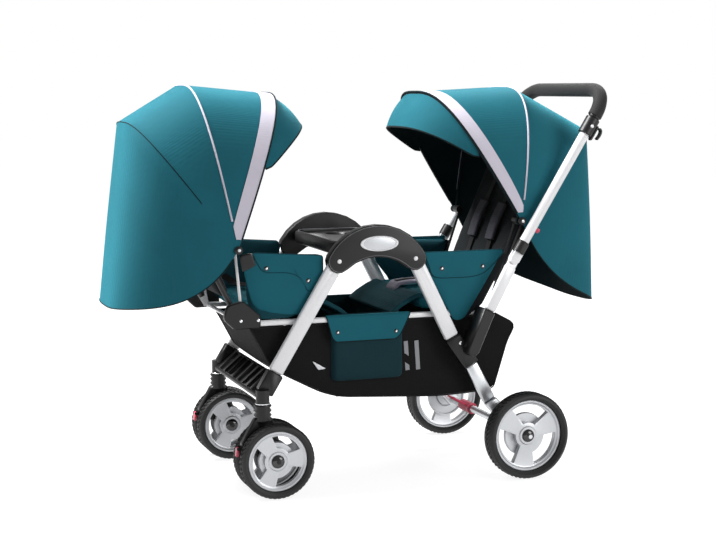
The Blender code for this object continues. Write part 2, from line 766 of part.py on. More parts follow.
def caster(name, side):
    """A swivelling fork with ribbed bellows, a lock tab and two wheels on one axle."""
    y = side * CASTER_Y
    swivel = joint_axis(f"caster_{name}_axis", (SWIVEL_X, y, SWIVEL_TOP), FRONT_FOLD)
    top = SWIVEL_TOP - GAP
    stem = rod((SWIVEL_X, y, top - 0.01), (SWIVEL_X, y, top + 0.028), STEM_R)
    axle_z = FRONT_WHEEL_R
    fork = filleted(
        [
            (SWIVEL_X + 0.024, top - BELLOWS_LENGTH + 0.012, 0.006),
            (SWIVEL_X - 0.024, top - BELLOWS_LENGTH + 0.012, 0.010),
            (-0.392, 0.150, 0.014),
            (-0.388, 0.116, 0.010),
            (-0.352, 0.116, 0.020),
            (FRONT_AXLE_X - 0.012, axle_z - 0.020, 0.012),
            (FRONT_AXLE_X + 0.020, axle_z - 0.018, 0.012),
            (FRONT_AXLE_X + 0.022, axle_z + 0.020, 0.012),
        ]
    )
    half = FORK_THICKNESS / 2
    web = plate(fork, y - half, y + half, edge=0.003)
    reach = TWIN_OFFSET + FRONT_TYRE_WIDTH / 2
    axle = rod((FRONT_AXLE_X, y - reach, axle_z), (FRONT_AXLE_X, y + reach, axle_z), AXLE_PIN_R)
    x, z = LOCK_HINGE
    cheek_y = LOCK_WIDTH / 2 + GAP + LOCK_CHEEK
    pieces = [web, bellows((SWIVEL_X, y, top)), stem, axle]
    pieces.append(block((0.008, 2 * cheek_y, 0.010), (x + 0.0115, y, z)))
    pieces.append(rod((x, y - cheek_y + 0.001, z), (x, y + cheek_y - 0.001, z), LOCK_PIN_R))
    for cheek in (-1, 1):
        outline = bar_outline((x + 0.010, z), (x, z), 0.009, round_end=True)
        pieces.append(plate(outline, y + cheek * cheek_y, y + cheek * (cheek_y - LOCK_CHEEK)))
    node(f"caster_fork_{name}", BLACK, swivel, pieces)
    tab_axis = joint_axis(f"swivel_lock_{name}_axis", (x, y, z), swivel)
    tab = block((0.008, LOCK_WIDTH, 0.026), (x - 0.0005, y, z - 0.0095), lean=6, edge=0.002, segments=1)
    bore = rod((x, y - 0.02, z), (x, y + 0.02, z), (LOCK_PIN_R + GAP) / math.cos(math.pi / PIN_SIDES))
    node(f"swivel_lock_{name}", PINK, tab_axis, [tab], [bore])
    for label, offset in (("outer", side), ("inner", -side)):
        centre = Vector((FRONT_AXLE_X, y + offset * TWIN_OFFSET, axle_z))
        wheel_name = f"front_wheel_{name}_{label}"
        wheel(wheel_name, FRONT_WHEEL_R, FRONT_TYRE_WIDTH, FRONT_TYRE_DEPTH, centre, offset, 64, swivel)


def front_step():
    """One moulding: the two shoes under the front legs, the swivel sockets and the ribbed step between."""
    pieces, sockets = [], []
    slope = (Vector(STEP_FRONT) - Vector(STEP_BACK)).normalized()
    up = Vector((slope.y, -slope.x))
    board = bar_outline(STEP_BACK, STEP_FRONT, STEP_THICKNESS, round_start=True, round_end=True)
    board_end = CASTER_Y - 0.0206
    pieces.append(plate(board, -board_end, board_end))
    for side in SIDES.values():
        pivot = (-LEG_PIVOT_X, LEG_PIVOT_Z)
        reach = (Vector(FRONT_LEG_FOOT) - Vector(pivot)).length
        start, end = along(pivot, FRONT_LEG_FOOT, reach + GAP), along(pivot, FRONT_LEG_FOOT, reach + 0.062)
        shoe = plate(bar_outline(start, end, JOINT_WIDTH), side * (CASTER_Y - 0.031), side * (CASTER_Y - 0.001), edge=0.004)
        y = side * CASTER_Y
        boss = rod((SWIVEL_X, y, SWIVEL_TOP), (SWIVEL_X, y, SWIVEL_TOP + 0.036), 0.019, HUB_SIDES)
        pieces += [shoe, boss]
        bore = (STEM_R + GAP) / math.cos(math.pi / PIN_SIDES)
        sockets.append(rod((SWIVEL_X, y, 0.2), (SWIVEL_X, y, SWIVEL_TOP + 0.029), bore))
    for rib in range(STEP_RIBS):
        y = 0.38 * ((rib + 0.5) / STEP_RIBS - 0.5)
        lift = up * (STEP_THICKNESS / 2 + STEP_RIB_HEIGHT / 2 - 0.001)
        low, high = Vector(STEP_FRONT) + lift, Vector(STEP_BACK) + lift
        ridge = bar_outline(along(low, high, 0.003), along(high, low, 0.003), STEP_RIB_HEIGHT + 0.002)
        pieces.append(plate(ridge, y - 0.007, y + 0.007))
    node("front_step", BLACK, FRONT_FOLD, pieces, sockets)


# Seat frames, seats and backrests

def rail(frame, side):
    """A seat rail that ends in a flat tongue at the middle and turns up into the canopy's upright."""
    end = frame["end"]
    y = side * RAIL_Y
    begin = end * TONGUE_LENGTH
    straight = tube([(begin, y, RAIL_Z), (frame["rail_end"], y, RAIL_Z)], RAIL_R)
    x, z = frame["canopy"]
    stretch = [(frame["rail_end"] - end * 0.003, y, RAIL_Z), (frame["rail_end"] + end * 0.004, y, 0.50), (x, y, z)]
    upright = tube(stretch, UPRIGHT_R, 1)
    near = side * (RAIL_Y - end * RAIL_R / 2)
    flat = plate(
        bar_outline((0, RAIL_Z), (begin + end * 0.006, RAIL_Z), 2 * RAIL_R * 0.94, round_start=True),
        near - 0.0035,
        near + 0.0035,
    )
    return [straight, upright, flat]


def seat_frame(name, frame, axis):
    """Two rails with their uprights, the cross bars, the recline lugs and the canopy pivots."""
    pieces, holes = [], []
    for side in SIDES.values():
        pieces += rail(frame, side)
        x, z = frame["recline"]
        lug = bar_outline((x, z), (frame["rail_end"], RAIL_Z), 0.016, round_start=True)
        pieces.append(plate(lug, side * (RAIL_Y - 0.0045), side * (RAIL_Y + 0.0045)))
        holes.append(pivot_hole(x, z, side, RECLINE_PIN_R))
        x, z = frame["canopy"]
        boss_end = CANOPY_HALF_WIDTH - BOW_STEP * 1.5 - GAP
        pieces.append(rod((x, side * (RAIL_Y - 0.002), z), (x, side * boss_end, z), HUB_R, HUB_SIDES))
        pieces.append(rod((x, side * RAIL_Y, z), (x, side * (CANOPY_HALF_WIDTH + BOW_STEP / 2), z), RAIL_PIN_R))
        holes.append(pivot_hole(axis.matrix_world.translation.x, RAIL_Z, side, RAIL_PIN_R))
    for x in (frame["crossbar"], frame["rail_end"] - frame["end"] * 0.010):
        z = RAIL_Z - RAIL_R / 2
        pieces.append(rod((x, -RAIL_Y, z), (x, RAIL_Y, z), CROSSBAR_R, 8))
    pieces.append(pieces.pop(0))
    node(name, WHITE, axis, pieces, holes)


def front_brackets():
    """The black covers over the outer ends of the front rails."""
    for name, side in SIDES.items():
        outline = filleted(
            [
                (-0.330, 0.457, 0.006),
                (-0.330, 0.490, 0.010),
                (-0.378, 0.532, 0.014),
                (-0.424, 0.520, 0.020),
                (-0.432, 0.484, 0.016),
                (-0.402, 0.455, 0.012),
            ]
        )
        cover = plate(outline, side * (SEAT_HALF_WIDTH + GAP), side * 0.226, edge=0.003)
        node(f"front_bracket_{name}", BLACK, FRONT_SEAT_AXIS, [cover])


def seat(name, panel_corners, cushion_span, axis):
    """A cushion between two padded side panels."""
    first, last = cushion_span
    width = 2 * (SEAT_HALF_WIDTH - SIDE_PANEL) + 0.006
    rest = RAIL_Z + RAIL_R + GAP
    middle = ((first + last) / 2, 0, rest + CUSHION_THICKNESS / 2)
    pieces = [cushion((abs(last - first), width, CUSHION_THICKNESS), middle, 0, 0.22)]
    for side in SIDES.values():
        outer, inner = side * SEAT_HALF_WIDTH, side * (SEAT_HALF_WIDTH - SIDE_PANEL)
        pieces.append(plate(filleted(panel_corners), inner, outer, edge=0.006))
    node(name, TEAL, axis, pieces)


def backrest(name, frame, lean, parent):
    """A padded back on a bent tube that reclines about the outer ends of the rails."""
    x, z = frame["recline"]
    axis = joint_axis(f"{name}_axis", (x, 0, z), parent)
    direction = heading(lean)
    foot, top = 0.045, BACKREST_LENGTH
    middle = Vector((x, z)) + direction * (foot + top) / 2
    width = 2 * (BACKREST_TUBE_Y + BACKREST_TUBE_R) - 0.004
    pad = cushion((top - foot, width, BACKREST_THICKNESS), (middle.x, 0, middle.y), lean - 90 * frame["end"], 0.25)
    pieces = [pad]
    for side in SIDES.values():
        end = Vector((x, z)) + direction * (top * 0.8)
        start = Vector((x, z)) - direction * 0.006
        y = side * BACKREST_TUBE_Y
        pieces.append(rod((start.x, y, start.y), (end.x, y, end.y), BACKREST_TUBE_R, 8))
        pieces.append(rod((x, y, z), (x, side * (RAIL_Y + 0.0035), z), RECLINE_PIN_R))
    node(name, TEAL, axis, pieces)


# Canopies

def canopy_point(frame, reach, half_width, angle, turn):
    """A point on a canopy arch: turn goes from 0 at the left pivot to 180 at the right one."""
    power = 2 / CANOPY_SQUARENESS
    across = -math.cos(math.radians(turn))
    out = math.sin(math.radians(turn)) ** power * reach
    x, z = frame["canopy"]
    lean = heading(-frame["end"] * angle)
    y = math.copysign(abs(across) ** power, across) * half_width
    return Vector((x + lean.x * out, y, z + lean.y * out))


def arch_turns():
    """The turns of the points along an arch, closer together where it bends near its pivots."""
    rising = [90 * (step / ARCH_STEPS) ** 1.6 for step in range(ARCH_STEPS + 1)]
    return rising + [180 - turn for turn in reversed(rising[:-1])]


def woven(rows):
    """A mesh whose rows of points are joined by quads."""
    columns = len(rows[0])
    faces = []
    for row in range(len(rows) - 1):
        for column in range(columns - 1):
            first = row * columns + column
            faces.append((first, first + 1, first + columns + 1, first + columns))
    mesh = bpy.data.meshes.new("woven")
    mesh.from_pydata([point for line in rows for point in line], [], faces)
    return mesh


def stretched(first, last, steps):
    """The (angle, reach) arches of cloth that is pulled straight from one arch to another."""
    whole = math.radians(last[0] - first[0])
    arches = []
    for step in range(steps + 1):
        part = whole * step / steps
        reach = first[1] * last[1] * math.sin(whole)
        reach /= first[1] * math.sin(part) + last[1] * math.sin(whole - part)
        arches.append((first[0] + math.degrees(part), reach))
    return arches


def fabric(name, axis, frame, arches, hem_drop=0.0):
    """A panel over a row of arches: the last one may drop towards the pivots as a hem."""
    samples = arch_turns()[1:-1]
    rows = []
    for row, (angle, reach) in enumerate(arches):
        share = row / (len(arches) - 1)
        line = []
        for turn in samples:
            drop = hem_drop * share**2 * (1 - math.sin(math.radians(turn))) ** 1.5
            width = CANOPY_HALF_WIDTH + BOW_R + FABRIC_GAP + 0.0015
            line.append(canopy_point(frame, reach + BOW_R + FABRIC_GAP, width, angle - drop, turn))
        rows.append(line)
    mesh = woven(rows)
    obj = helper(mesh)
    shape = bmesh.new()
    shape.from_mesh(mesh)
    bmesh.ops.recalc_face_normals(shape, faces=shape.faces)
    shape.faces.ensure_lookup_table()
    pivot = Vector((frame["canopy"][0], 0, frame["canopy"][1]))
    outward = sum((f.normal.dot(f.calc_center_median() - pivot) for f in shape.faces))
    if outward < 0:
        bmesh.ops.reverse_faces(shape, faces=shape.faces)
    shape.to_mesh(mesh)
    shape.free()
    solid = obj.modifiers.new("thickness", "SOLIDIFY")
    solid.thickness = FABRIC
    solid.offset = 1
    node(name, TEAL, axis, [settled(obj)])


def bow(frame, angle, reach, hub_y):
    """A bent rod from one hub over the top to the other, with the hubs on the canopy's pivots."""
    points = [canopy_point(frame, reach, hub_y, angle, turn) for turn in arch_turns()]
    x, z = frame["canopy"]
    pieces = [tube(points, BOW_R, 1)]
    holes = []
    for side in SIDES.values():
        half = HUB_THICKNESS / 2
        pieces.append(rod((x, side * (hub_y - half), z), (x, side * (hub_y + half), z), HUB_R, HUB_SIDES))
        holes.append(pivot_hole(x, z, side, RAIL_PIN_R))
    return pieces, holes


def visor(frame, front, tip):
    """The stiff peak that sticks out ahead of the front bow."""
    samples = [turn for turn in arch_turns() if 18 < turn < 162]
    first = samples[0]
    rows = []
    for share in (-0.02, 0.5, 1):
        line = []
        for turn in samples:
            window = max(math.sin(math.pi * (turn - first) / (180 - 2 * first)), 0) ** 0.5
            angle = front[0] + (tip[0] - front[0]) * share * (0.12 + 0.88 * window)
            reach = front[1] + (tip[1] - front[1]) * share
            line.append(canopy_point(frame, reach, CANOPY_HALF_WIDTH, angle, turn))
        rows.append(line)
    obj = helper(woven(rows))
    solid = obj.modifiers.new("thickness", "SOLIDIFY")
    solid.thickness = VISOR_THICKNESS
    solid.offset = 0
    return settled(obj)


def canopy(name, frame, shape, parent):
    """Two hinged bows with a fabric panel between them and a drape behind."""
    x, z = frame["canopy"]
    middle_axis = joint_axis(f"{name}_middle_bow_axis", (x, 0, z), parent)
    front_axis = joint_axis(f"{name}_front_bow_axis", (x, 0, z), middle_axis)
    middle_y, front_y = CANOPY_HALF_WIDTH - BOW_STEP, CANOPY_HALF_WIDTH
    pieces, holes = bow(frame, *shape["middle"], middle_y)
    node(f"{name}_middle_bow", SILVER, middle_axis, pieces, holes)
    pieces, holes = bow(frame, *shape["front"], front_y)
    node(f"{name}_front_bow", TEAL, front_axis, [*pieces, visor(frame, shape["front"], shape["visor"])], holes)
    front, middle, back, hem = (shape[arch] for arch in ("front", "middle", "back", "hem"))
    fabric(f"{name}_front_panel", middle_axis, frame, stretched(front, (middle[0] + SEAM, middle[1]), 3))
    drape = stretched((middle[0] - SEAM, middle[1]), back, 2) + stretched(back, hem, 4)[1:]
    fabric(f"{name}_rear_panel", parent, frame, drape, shape["hem_drop"])


# Handle

def handle():
    for name, side in SIDES.items():
        y = side * PUSH_Y
        outer = rod(on_handle(OUTER_TUBE_START, y), on_handle(OUTER_TUBE_END, y), OUTER_TUBE_R, HUB_SIDES)
        bore = rod(on_handle(BORE_START, y), on_handle(OUTER_TUBE_END + 0.02, y), OUTER_TUBE_BORE, HUB_SIDES)
        low, high = on_handle(OUTER_TUBE_END - 0.045, y), on_handle(OUTER_TUBE_END + 0.004, y)
        clamp = rod(low, high, OUTER_TUBE_R + CLAMP_WALL, HUB_SIDES)
        pieces = [outer, clamp]
        for cheek in (-1, 1):
            first = y + cheek * (TONGUE_THICKNESS / 2 + GAP)
            last = y + cheek * (TONGUE_THICKNESS / 2 + GAP + 0.005)
            spot = on_handle(OUTER_TUBE_START + 0.014)
            outline = bar_outline(HANDLE_PIVOT, (spot[0], spot[2]), 2 * CHEEK_R - 0.004, round_start=True)
            pieces.append(plate(outline, first, last))
        x, z = HANDLE_PIVOT
        pieces.append(rod((x, y - 0.009, z), (x, y + 0.009, z), RAIL_PIN_R))
        away = Vector((HANDLE_DIRECTION.y, 0, -HANDLE_DIRECTION.x))
        seat_of_button = Vector(on_handle(BUTTON_PLACE, y)) + away * (OUTER_TUBE_R - BUTTON_DEPTH)
        socket_end = seat_of_button + away * 0.02
        socket = rod(seat_of_button, socket_end, (BUTTON_R + GAP) / math.cos(math.pi / PIN_SIDES))
        node(f"handle_tube_{name}", WHITE, HANDLE_FOLD, pieces, [bore, socket])
        offset = OUTER_TUBE_R + CLAMP_WALL + GAP + LEVER_THICKNESS / 2
        hinge = Vector(on_handle(OUTER_TUBE_END - 0.010, y)) + away * offset
        lever_axis = joint_axis(f"clamp_lever_{name}_axis", hinge, HANDLE_FOLD)
        middle = Vector(on_handle(OUTER_TUBE_END - 0.030, y)) + away * offset
        lever = block((LEVER_THICKNESS, 0.016, 0.046), middle, lean=HANDLE_LEAN, edge=0.003, segments=1)
        node(f"clamp_lever_{name}", BLACK, lever_axis, [lever])
        foot = seat_of_button + away * (BUTTON_TRAVEL + GAP)
        press = joint_axis(f"fold_button_{name}_axis", foot, HANDLE_FOLD)
        node(f"fold_button_{name}", PINK, press, [rod(foot, foot + away * BUTTON_LENGTH, BUTTON_R)])
    half = PUSH_Y
    path = [on_handle(BAR_START, -half)]
    for step in range(6):
        angle = math.radians(90 * step / 5)
        rise = BAR_CROSS - BAR_CORNER_RISE * (1 - math.sin(angle))
        path.append(on_handle(rise, -half + BAR_CORNER_SPREAD * (1 - math.cos(angle))))
    path += [(x, -y, z) for x, y, z in reversed(path)]
    node("handle_bar", SILVER, HANDLE_SLIDE, [tube(path, BAR_R)])
    foam = [on_handle(GRIP_END, -half)] + path[1:-1] + [on_handle(GRIP_END, half)]
    node("handle_grip", FOAM, HANDLE_SLIDE, [tube(foam, GRIP_R)], [tube(path, BAR_R + SLIDE_GAP)])


# Tray, footwell and basket

def tray():
    half = ARCH_OUTER_Y - ARCH_DEPTH - GAP
    length = TRAY_LENGTH / 2
    outline = filleted([(-length, -half, 0.035), (length, -half, 0.035), (length, half, 0.035), (-length, half, 0.035)])
    body = slab(outline, TRAY_TOP - TRAY_DEPTH, TRAY_TOP + TRAY_RIM, edge=0.008, segments=2)
    inner = inset([(-length, -half, 0.035), (length, -half, 0.035), (length, half, 0.035), (-length, half, 0.035)], 0.012)
    well = slab(filleted(inner), TRAY_TOP, TRAY_TOP + 0.05)
    lift = joint_axis("tray_axis", (0, 0, TRAY_TOP), ROOT)
    cups = [rod((0, y, TRAY_TOP - 0.014), (0, y, TRAY_TOP + 0.05), 0.036, HUB_SIDES) for y in (-0.115, 0.115)]
    node("tray", BLACK, lift, [body], [well, *cups])


def footwell():
    """A padded well whose sides hold the rails in channels that are open upwards."""
    corners = FOOTWELL_CORNERS
    front, rear = corners[0][0], corners[1][0]
    outer_y = SEAT_HALF_WIDTH + GAP
    body = plate(filleted(corners), -outer_y, outer_y)
    channel_inner = RAIL_Y - RAIL_R - SLIDE_GAP
    channel_outer = RAIL_Y + RAIL_R + SLIDE_GAP
    inner = inset(corners, FOOTWELL_WALL)
    inner[2] = (rear - FOOTWELL_WALL, FOOTWELL_TOP + 0.05, 0)
    inner[3] = (front + FOOTWELL_WALL, FOOTWELL_TOP + 0.05, 0)
    hollow = plate(filleted(inner), -(channel_inner - FOOTWELL_WALL), channel_inner - FOOTWELL_WALL)
    cuts = [hollow]
    flaps = []
    for side in SIDES.values():
        channel = [(-0.2, CHANNEL_FLOOR), (0.2, CHANNEL_FLOOR), (0.2, 0.6), (-0.2, 0.6)]
        cuts.append(plate(channel, side * channel_inner, side * channel_outer))
        flap = [(-0.132, 0.404, 0.02), (0.082, 0.400, 0.02), (0.096, FOOTWELL_TOP, 0), (-0.143, FOOTWELL_TOP, 0)]
        flaps.append(plate(filleted(flap), side * (channel_outer + 0.0002), side * outer_y))
    node("footwell", DARK_TEAL, ROOT, [body, *flaps], cuts)


def basket():
    """A limp black basket under the seats, let in round the footwell."""
    corners = [
        (-0.292, 0.346, 0.03),
        (-0.250, 0.313, 0.06),
        (*BASKET_FLOOR[0], 0.06),
        (*BASKET_FLOOR[1], 0.05),
        (0.366, 0.2357, 0.03),
        (0.4126, 0.3717, 0.05),
        (0.4385, 0.4189, 0.02),
        (0.350, 0.4525, 0.0),
        (-0.346, 0.4525, 0.0),
    ]
    half = BASKET_HALF_WIDTH
    outside = plate(filleted(corners), -half, half)
    inner = inset(corners, BASKET_FABRIC)
    inner[-2] = (inner[-2][0], 0.52, 0)
    inner[-1] = (inner[-1][0], 0.52, 0)
    hollow = plate(filleted(inner), -half + BASKET_FABRIC, half - BASKET_FABRIC)
    around = inset(FOOTWELL_CORNERS, -SLIDE_GAP)
    around[2], around[3] = (around[2][0], 0.52, 0), (around[3][0], 0.52, 0)
    notch = plate(filleted(around), -2 * half, 2 * half)
    node("basket", BLACK_FABRIC, ROOT, [outside], [hollow, notch])


def basket_board():
    """A stiff tray that lies along the basket's sloping floor."""
    start, end = Vector(BASKET_FLOOR[0]), Vector(BASKET_FLOOR[1])
    slope = (end - start).normalized()
    normal = Vector((-slope.y, slope.x))
    lean = math.degrees(math.atan2(-slope.y, slope.x))
    middle = start + slope * ((BOARD_FRONT + BOARD_REAR) / 2 - start.x) / slope.x
    middle += normal * (BASKET_FABRIC + GAP + BOARD_RIM / 2)
    size = Vector(((BOARD_REAR - BOARD_FRONT), 2 * BOARD_HALF_WIDTH, BOARD_RIM))
    outside = block(size, (middle.x, 0, middle.y), lean)
    middle += normal * BOARD_WALL
    hollow = block(size - Vector((2 * BOARD_WALL, 2 * BOARD_WALL, 0)), (middle.x, 0, middle.y), lean)
    node("basket_board", BLACK, ROOT, [outside], [hollow])


def centre_on_origin():
    """Moves the whole stroller so that the origin is the middle of its footprint."""
    bpy.context.view_layer.update()
    graph = bpy.context.evaluated_depsgraph_get()
    ends = []
    for obj in PARTS.objects:
        if obj.type == "MESH":
            box = obj.evaluated_get(graph).bound_box
            ends += [(obj.matrix_world @ Vector(corner)).x for corner in box]
    ROOT.location.x -= (min(ends) + max(ends)) / 2
    bpy.context.view_layer.update()


for label, hand in SIDES.items():
    arch(label, hand)
    leg(f"front_leg_{label}", hand, -1, FRONT_LEG_FOOT, FRONT_RAIL_PIVOT_X, FRONT_FOLD)
    leg(f"rear_leg_{label}", hand, 1, REAR_LEG_FOOT, REAR_RAIL_PIVOT_X, REAR_FOLD)
    rear_frame(label, hand)
    caster(label, hand)
rear_axle()
brake_pedal()
rear_wheels()
front_step()
seat_frame("front_seat_frame", FRONT_SEAT_FRAME, FRONT_SEAT_AXIS)
seat_frame("rear_seat_frame", REAR_SEAT_FRAME, REAR_SEAT_AXIS)
front_brackets()
seat("front_seat", FRONT_PANEL, FRONT_CUSHION, FRONT_SEAT_AXIS)
seat("rear_seat", REAR_PANEL, REAR_CUSHION, REAR_SEAT_AXIS)
backrest("front_backrest", FRONT_SEAT_FRAME, FRONT_BACKREST_LEAN, FRONT_SEAT_AXIS)
backrest("rear_backrest", REAR_SEAT_FRAME, REAR_BACKREST_LEAN, REAR_SEAT_AXIS)
canopy("front_canopy", FRONT_SEAT_FRAME, FRONT_CANOPY, FRONT_SEAT_AXIS)
canopy("rear_canopy", REAR_SEAT_FRAME, REAR_CANOPY, REAR_SEAT_AXIS)
handle()
tray()
footwell()
basket()
basket_board()
centre_on_origin()
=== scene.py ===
# %% [markdown]
# # A tandem stroller, dressed over its frame
# The stroller carries two children who face each other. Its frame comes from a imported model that
# already has every tube, hinge and wheel at its real size and place. Here each part gets the surface
# that the real one has: woven cloth, lacquered steel, moulded plastic and rubber.

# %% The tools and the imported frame
import json
import math

import bmesh
import bpy
import numpy as np
from mathutils import Matrix, Vector

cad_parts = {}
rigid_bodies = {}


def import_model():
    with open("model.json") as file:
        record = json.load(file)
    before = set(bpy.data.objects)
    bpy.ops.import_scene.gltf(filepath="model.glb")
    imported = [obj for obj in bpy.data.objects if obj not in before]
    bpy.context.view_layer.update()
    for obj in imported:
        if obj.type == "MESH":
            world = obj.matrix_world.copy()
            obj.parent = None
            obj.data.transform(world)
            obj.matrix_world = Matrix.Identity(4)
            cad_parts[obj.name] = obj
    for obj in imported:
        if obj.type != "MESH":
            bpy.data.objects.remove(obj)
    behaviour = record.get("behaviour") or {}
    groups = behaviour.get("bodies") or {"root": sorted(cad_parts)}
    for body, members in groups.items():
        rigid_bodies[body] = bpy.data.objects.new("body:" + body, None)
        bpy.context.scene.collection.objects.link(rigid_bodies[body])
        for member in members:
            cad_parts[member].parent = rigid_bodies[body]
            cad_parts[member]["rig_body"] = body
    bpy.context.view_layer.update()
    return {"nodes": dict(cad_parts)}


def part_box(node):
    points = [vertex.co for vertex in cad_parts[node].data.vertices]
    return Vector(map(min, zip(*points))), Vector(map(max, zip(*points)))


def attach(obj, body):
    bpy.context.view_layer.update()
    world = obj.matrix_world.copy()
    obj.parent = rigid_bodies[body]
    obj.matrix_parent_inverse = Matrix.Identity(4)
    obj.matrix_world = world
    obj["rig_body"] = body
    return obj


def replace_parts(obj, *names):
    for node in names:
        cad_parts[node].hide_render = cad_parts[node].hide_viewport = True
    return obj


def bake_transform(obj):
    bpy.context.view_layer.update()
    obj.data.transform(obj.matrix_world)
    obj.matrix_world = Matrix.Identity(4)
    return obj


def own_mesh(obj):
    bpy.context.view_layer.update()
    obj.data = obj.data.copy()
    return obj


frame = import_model()
nodes = frame["nodes"]

# %% [markdown]
# The arches' middle is the easiest place to measure from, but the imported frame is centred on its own
# box. One number takes a place measured from the arches to a place in the frame.

# %% Places measured from the middle of the arches
MIDDLE = sum(corner.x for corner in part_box("arch_cover_left")) / 2
SIDES = {"left": -1, "right": 1}


def spot(x, y, z):
    """A place measured from the middle of the arches, as a place in the frame."""
    return Vector((x + MIDDLE, y, z))


def put(name, data):
    """Puts a new object with this data into the scene."""
    item = bpy.data.objects.new(name, data)
    bpy.context.collection.objects.link(item)
    return item


print("the arches' middle is at x =", round(MIDDLE, 5))

# %% [markdown]
# The stroller is seen from its near side, a little ahead of it and just above the height of the
# seats. The camera stands where the wheels and arches line up with the photograph.

# %% The camera
LENS, SENSOR = 75.5, 36
AIM, DISTANCE = spot(0.0264, 0, 0.573), 4.321
AZIMUTH, ELEVATION = math.radians(-19.857), math.radians(6.887)
backwards = Vector((
    math.sin(AZIMUTH) * math.cos(ELEVATION), -math.cos(AZIMUTH) * math.cos(ELEVATION), math.sin(ELEVATION),
))
camera_data = bpy.data.cameras.new("camera")
camera_data.sensor_width = SENSOR
camera_data.lens = LENS
camera = put("camera", camera_data)
camera.location = AIM + backwards * DISTANCE
camera.rotation_euler = (-backwards).to_track_quat("-Z", "Y").to_euler()
bpy.context.scene.camera = camera
print("camera at", [round(c, 3) for c in camera.location])

# %% [markdown]
# A material starts from the one shader that covers most real surfaces. Small functions keep the
# recipes short: they start a material, add a pattern node and link it to the shader.

# %% Starting a material and adding nodes to it
def linear(colour):
    """The linear colour of an sRGB hex value."""
    shares = [int(colour[place:place + 2], 16) / 255 for place in (1, 3, 5)]
    return [s / 12.92 if s <= 0.04045 else ((s + 0.055) / 1.055) ** 2.4 for s in shares] + [1.0]


def shader_inputs(material):
    """The sockets of a material's one shader."""
    return material.node_tree.nodes["Principled BSDF"].inputs


def start_material(name, colour, roughness, **values):
    """A material whose shader has this colour, this roughness and any other values."""
    material = bpy.data.materials.new(name)
    material.use_nodes = True
    values = {"Base Color": linear(colour), "Roughness": roughness, **values}
    for socket, value in values.items():
        shader_inputs(material)[socket.replace("_", " ")].default_value = value
    return material


def add(owner, kind, values=None, links=None, **settings):
    """Adds a node, sets its values and settings, and links its inputs to other nodes' outputs."""
    node = owner.node_tree.nodes.new(kind)
    for setting, value in settings.items():
        setattr(node, setting, value)
    for socket, value in (values or {}).items():
        node.inputs[socket].default_value = value
    for socket, output in (links or {}).items():
        owner.node_tree.links.new(output, node.inputs[socket])
    return node


def connect(material, output, socket):
    """Links an output to one of the shader's own inputs."""
    material.node_tree.links.new(output, shader_inputs(material)[socket])


def bump(material, height, strength, depth):
    """Lets a pattern's height raise the surface by depth metres."""
    node = add(material, "ShaderNodeBump", {"Strength": strength, "Distance": depth}, {"Height": height})
    connect(material, node.outputs["Normal"], "Normal")


def tint(material, share, low, high):
    """Lets a pattern's share mix two colours into the shader's colour."""
    node = add(material, "ShaderNodeMix", links={"Factor": share}, data_type="RGBA")
    first, second = [socket for socket in node.inputs if socket.type == "RGBA"]
    first.default_value, second.default_value = linear(low), linear(high)
    connect(material, [socket for socket in node.outputs if socket.type == "RGBA"][0], "Base Color")


# %% [markdown]
# The canopies and seats are sewn from a dense polyester weave. Seen from across a room the threads
# merge, so the weave is drawn at 2 to 5 mm, several times the real spacing, to give the cloth its
# tooth. Bands of waves cross each other, as warp and weft do. A faint slow change of tone stands for
# the way that dyed cloth never lies quite even, and the sheen is the fuzz of its fibres.

# %% The woven cloths
WAVE_LENGTH = 0.314
WEAVE_DEPTH = 0.0004
CLOTH_ROUGHNESS = 0.85
TEAL_FUZZ = "#48b4c6"


def woven_cloth(name, dark, light, spacing, sheen, fuzz="#ffffff"):
    """A woven cloth: waves across and along the pattern, with a slow change of tone."""
    material = start_material(
        name, light, CLOTH_ROUGHNESS, Sheen_Weight=sheen, Sheen_Roughness=0.4, Specular_IOR_Level=0.2,
        Sheen_Tint=linear(fuzz),
    )
    coordinates = add(material, "ShaderNodeTexCoord").outputs["Object"]
    waves = [
        add(
            material, "ShaderNodeTexWave", {"Scale": WAVE_LENGTH / spacing, "Distortion": 0.6, "Detail": 1.0},
            {"Vector": coordinates}, wave_type="BANDS", bands_direction=direction,
        ).outputs["Fac"]
        for direction in ("X", "Y", "Z")
    ]
    threads = waves[0]
    for wave in waves[1:]:
        threads = add(material, "ShaderNodeMath", links={0: threads, 1: wave}, operation="ADD").outputs[0]
    bump(material, threads, 0.5, WEAVE_DEPTH)
    tone = add(material, "ShaderNodeTexNoise", {"Scale": 5.0, "Detail": 3.0}, {"Vector": coordinates})
    tint(material, tone.outputs["Fac"], dark, light)
    return material


teal_cloth = woven_cloth("teal_polyester_weave", "#14535f", "#1a6675", 0.003, 0.6, TEAL_FUZZ)
inner_cloth = woven_cloth("dark_inner_weave", "#0a343c", "#0f424c", 0.003, 0.25, TEAL_FUZZ)
lining_cloth = woven_cloth("dark_canopy_lining", "#051417", "#0a2024", 0.003, 0.05)
pouch_cloth = woven_cloth("dark_teal_pouch_mesh", "#0c282e", "#12343b", 0.004, 0.1, TEAL_FUZZ)
basket_cloth = woven_cloth("black_basket_nylon", "#060607", "#0d0d0e", 0.005, 0.0)
lilac_cloth = woven_cloth("lilac_harness_padding", "#b0aabf", "#c6c0d2", 0.003, 0.3)
grey_cloth = woven_cloth("grey_shoulder_padding", "#34343a", "#47474e", 0.003, 0.1)
# The black seat cloth is partly painted shade: on the rear seat's sheet between skirt and push tube it stands
# for the shade inside the seat.
dark_cloth = woven_cloth("black_seat_lining_and_painted_shade", "#0a0e10", "#12171a", 0.003, 0.05)
band_tape = woven_cloth("lavender_grey_tape", "#c6c1cf", "#d6d1dd", 0.0025, 0.1)
band_grey = woven_cloth("grey_reflective_tape", "#8a8c90", "#a3a5a9", 0.0025, 0.1)
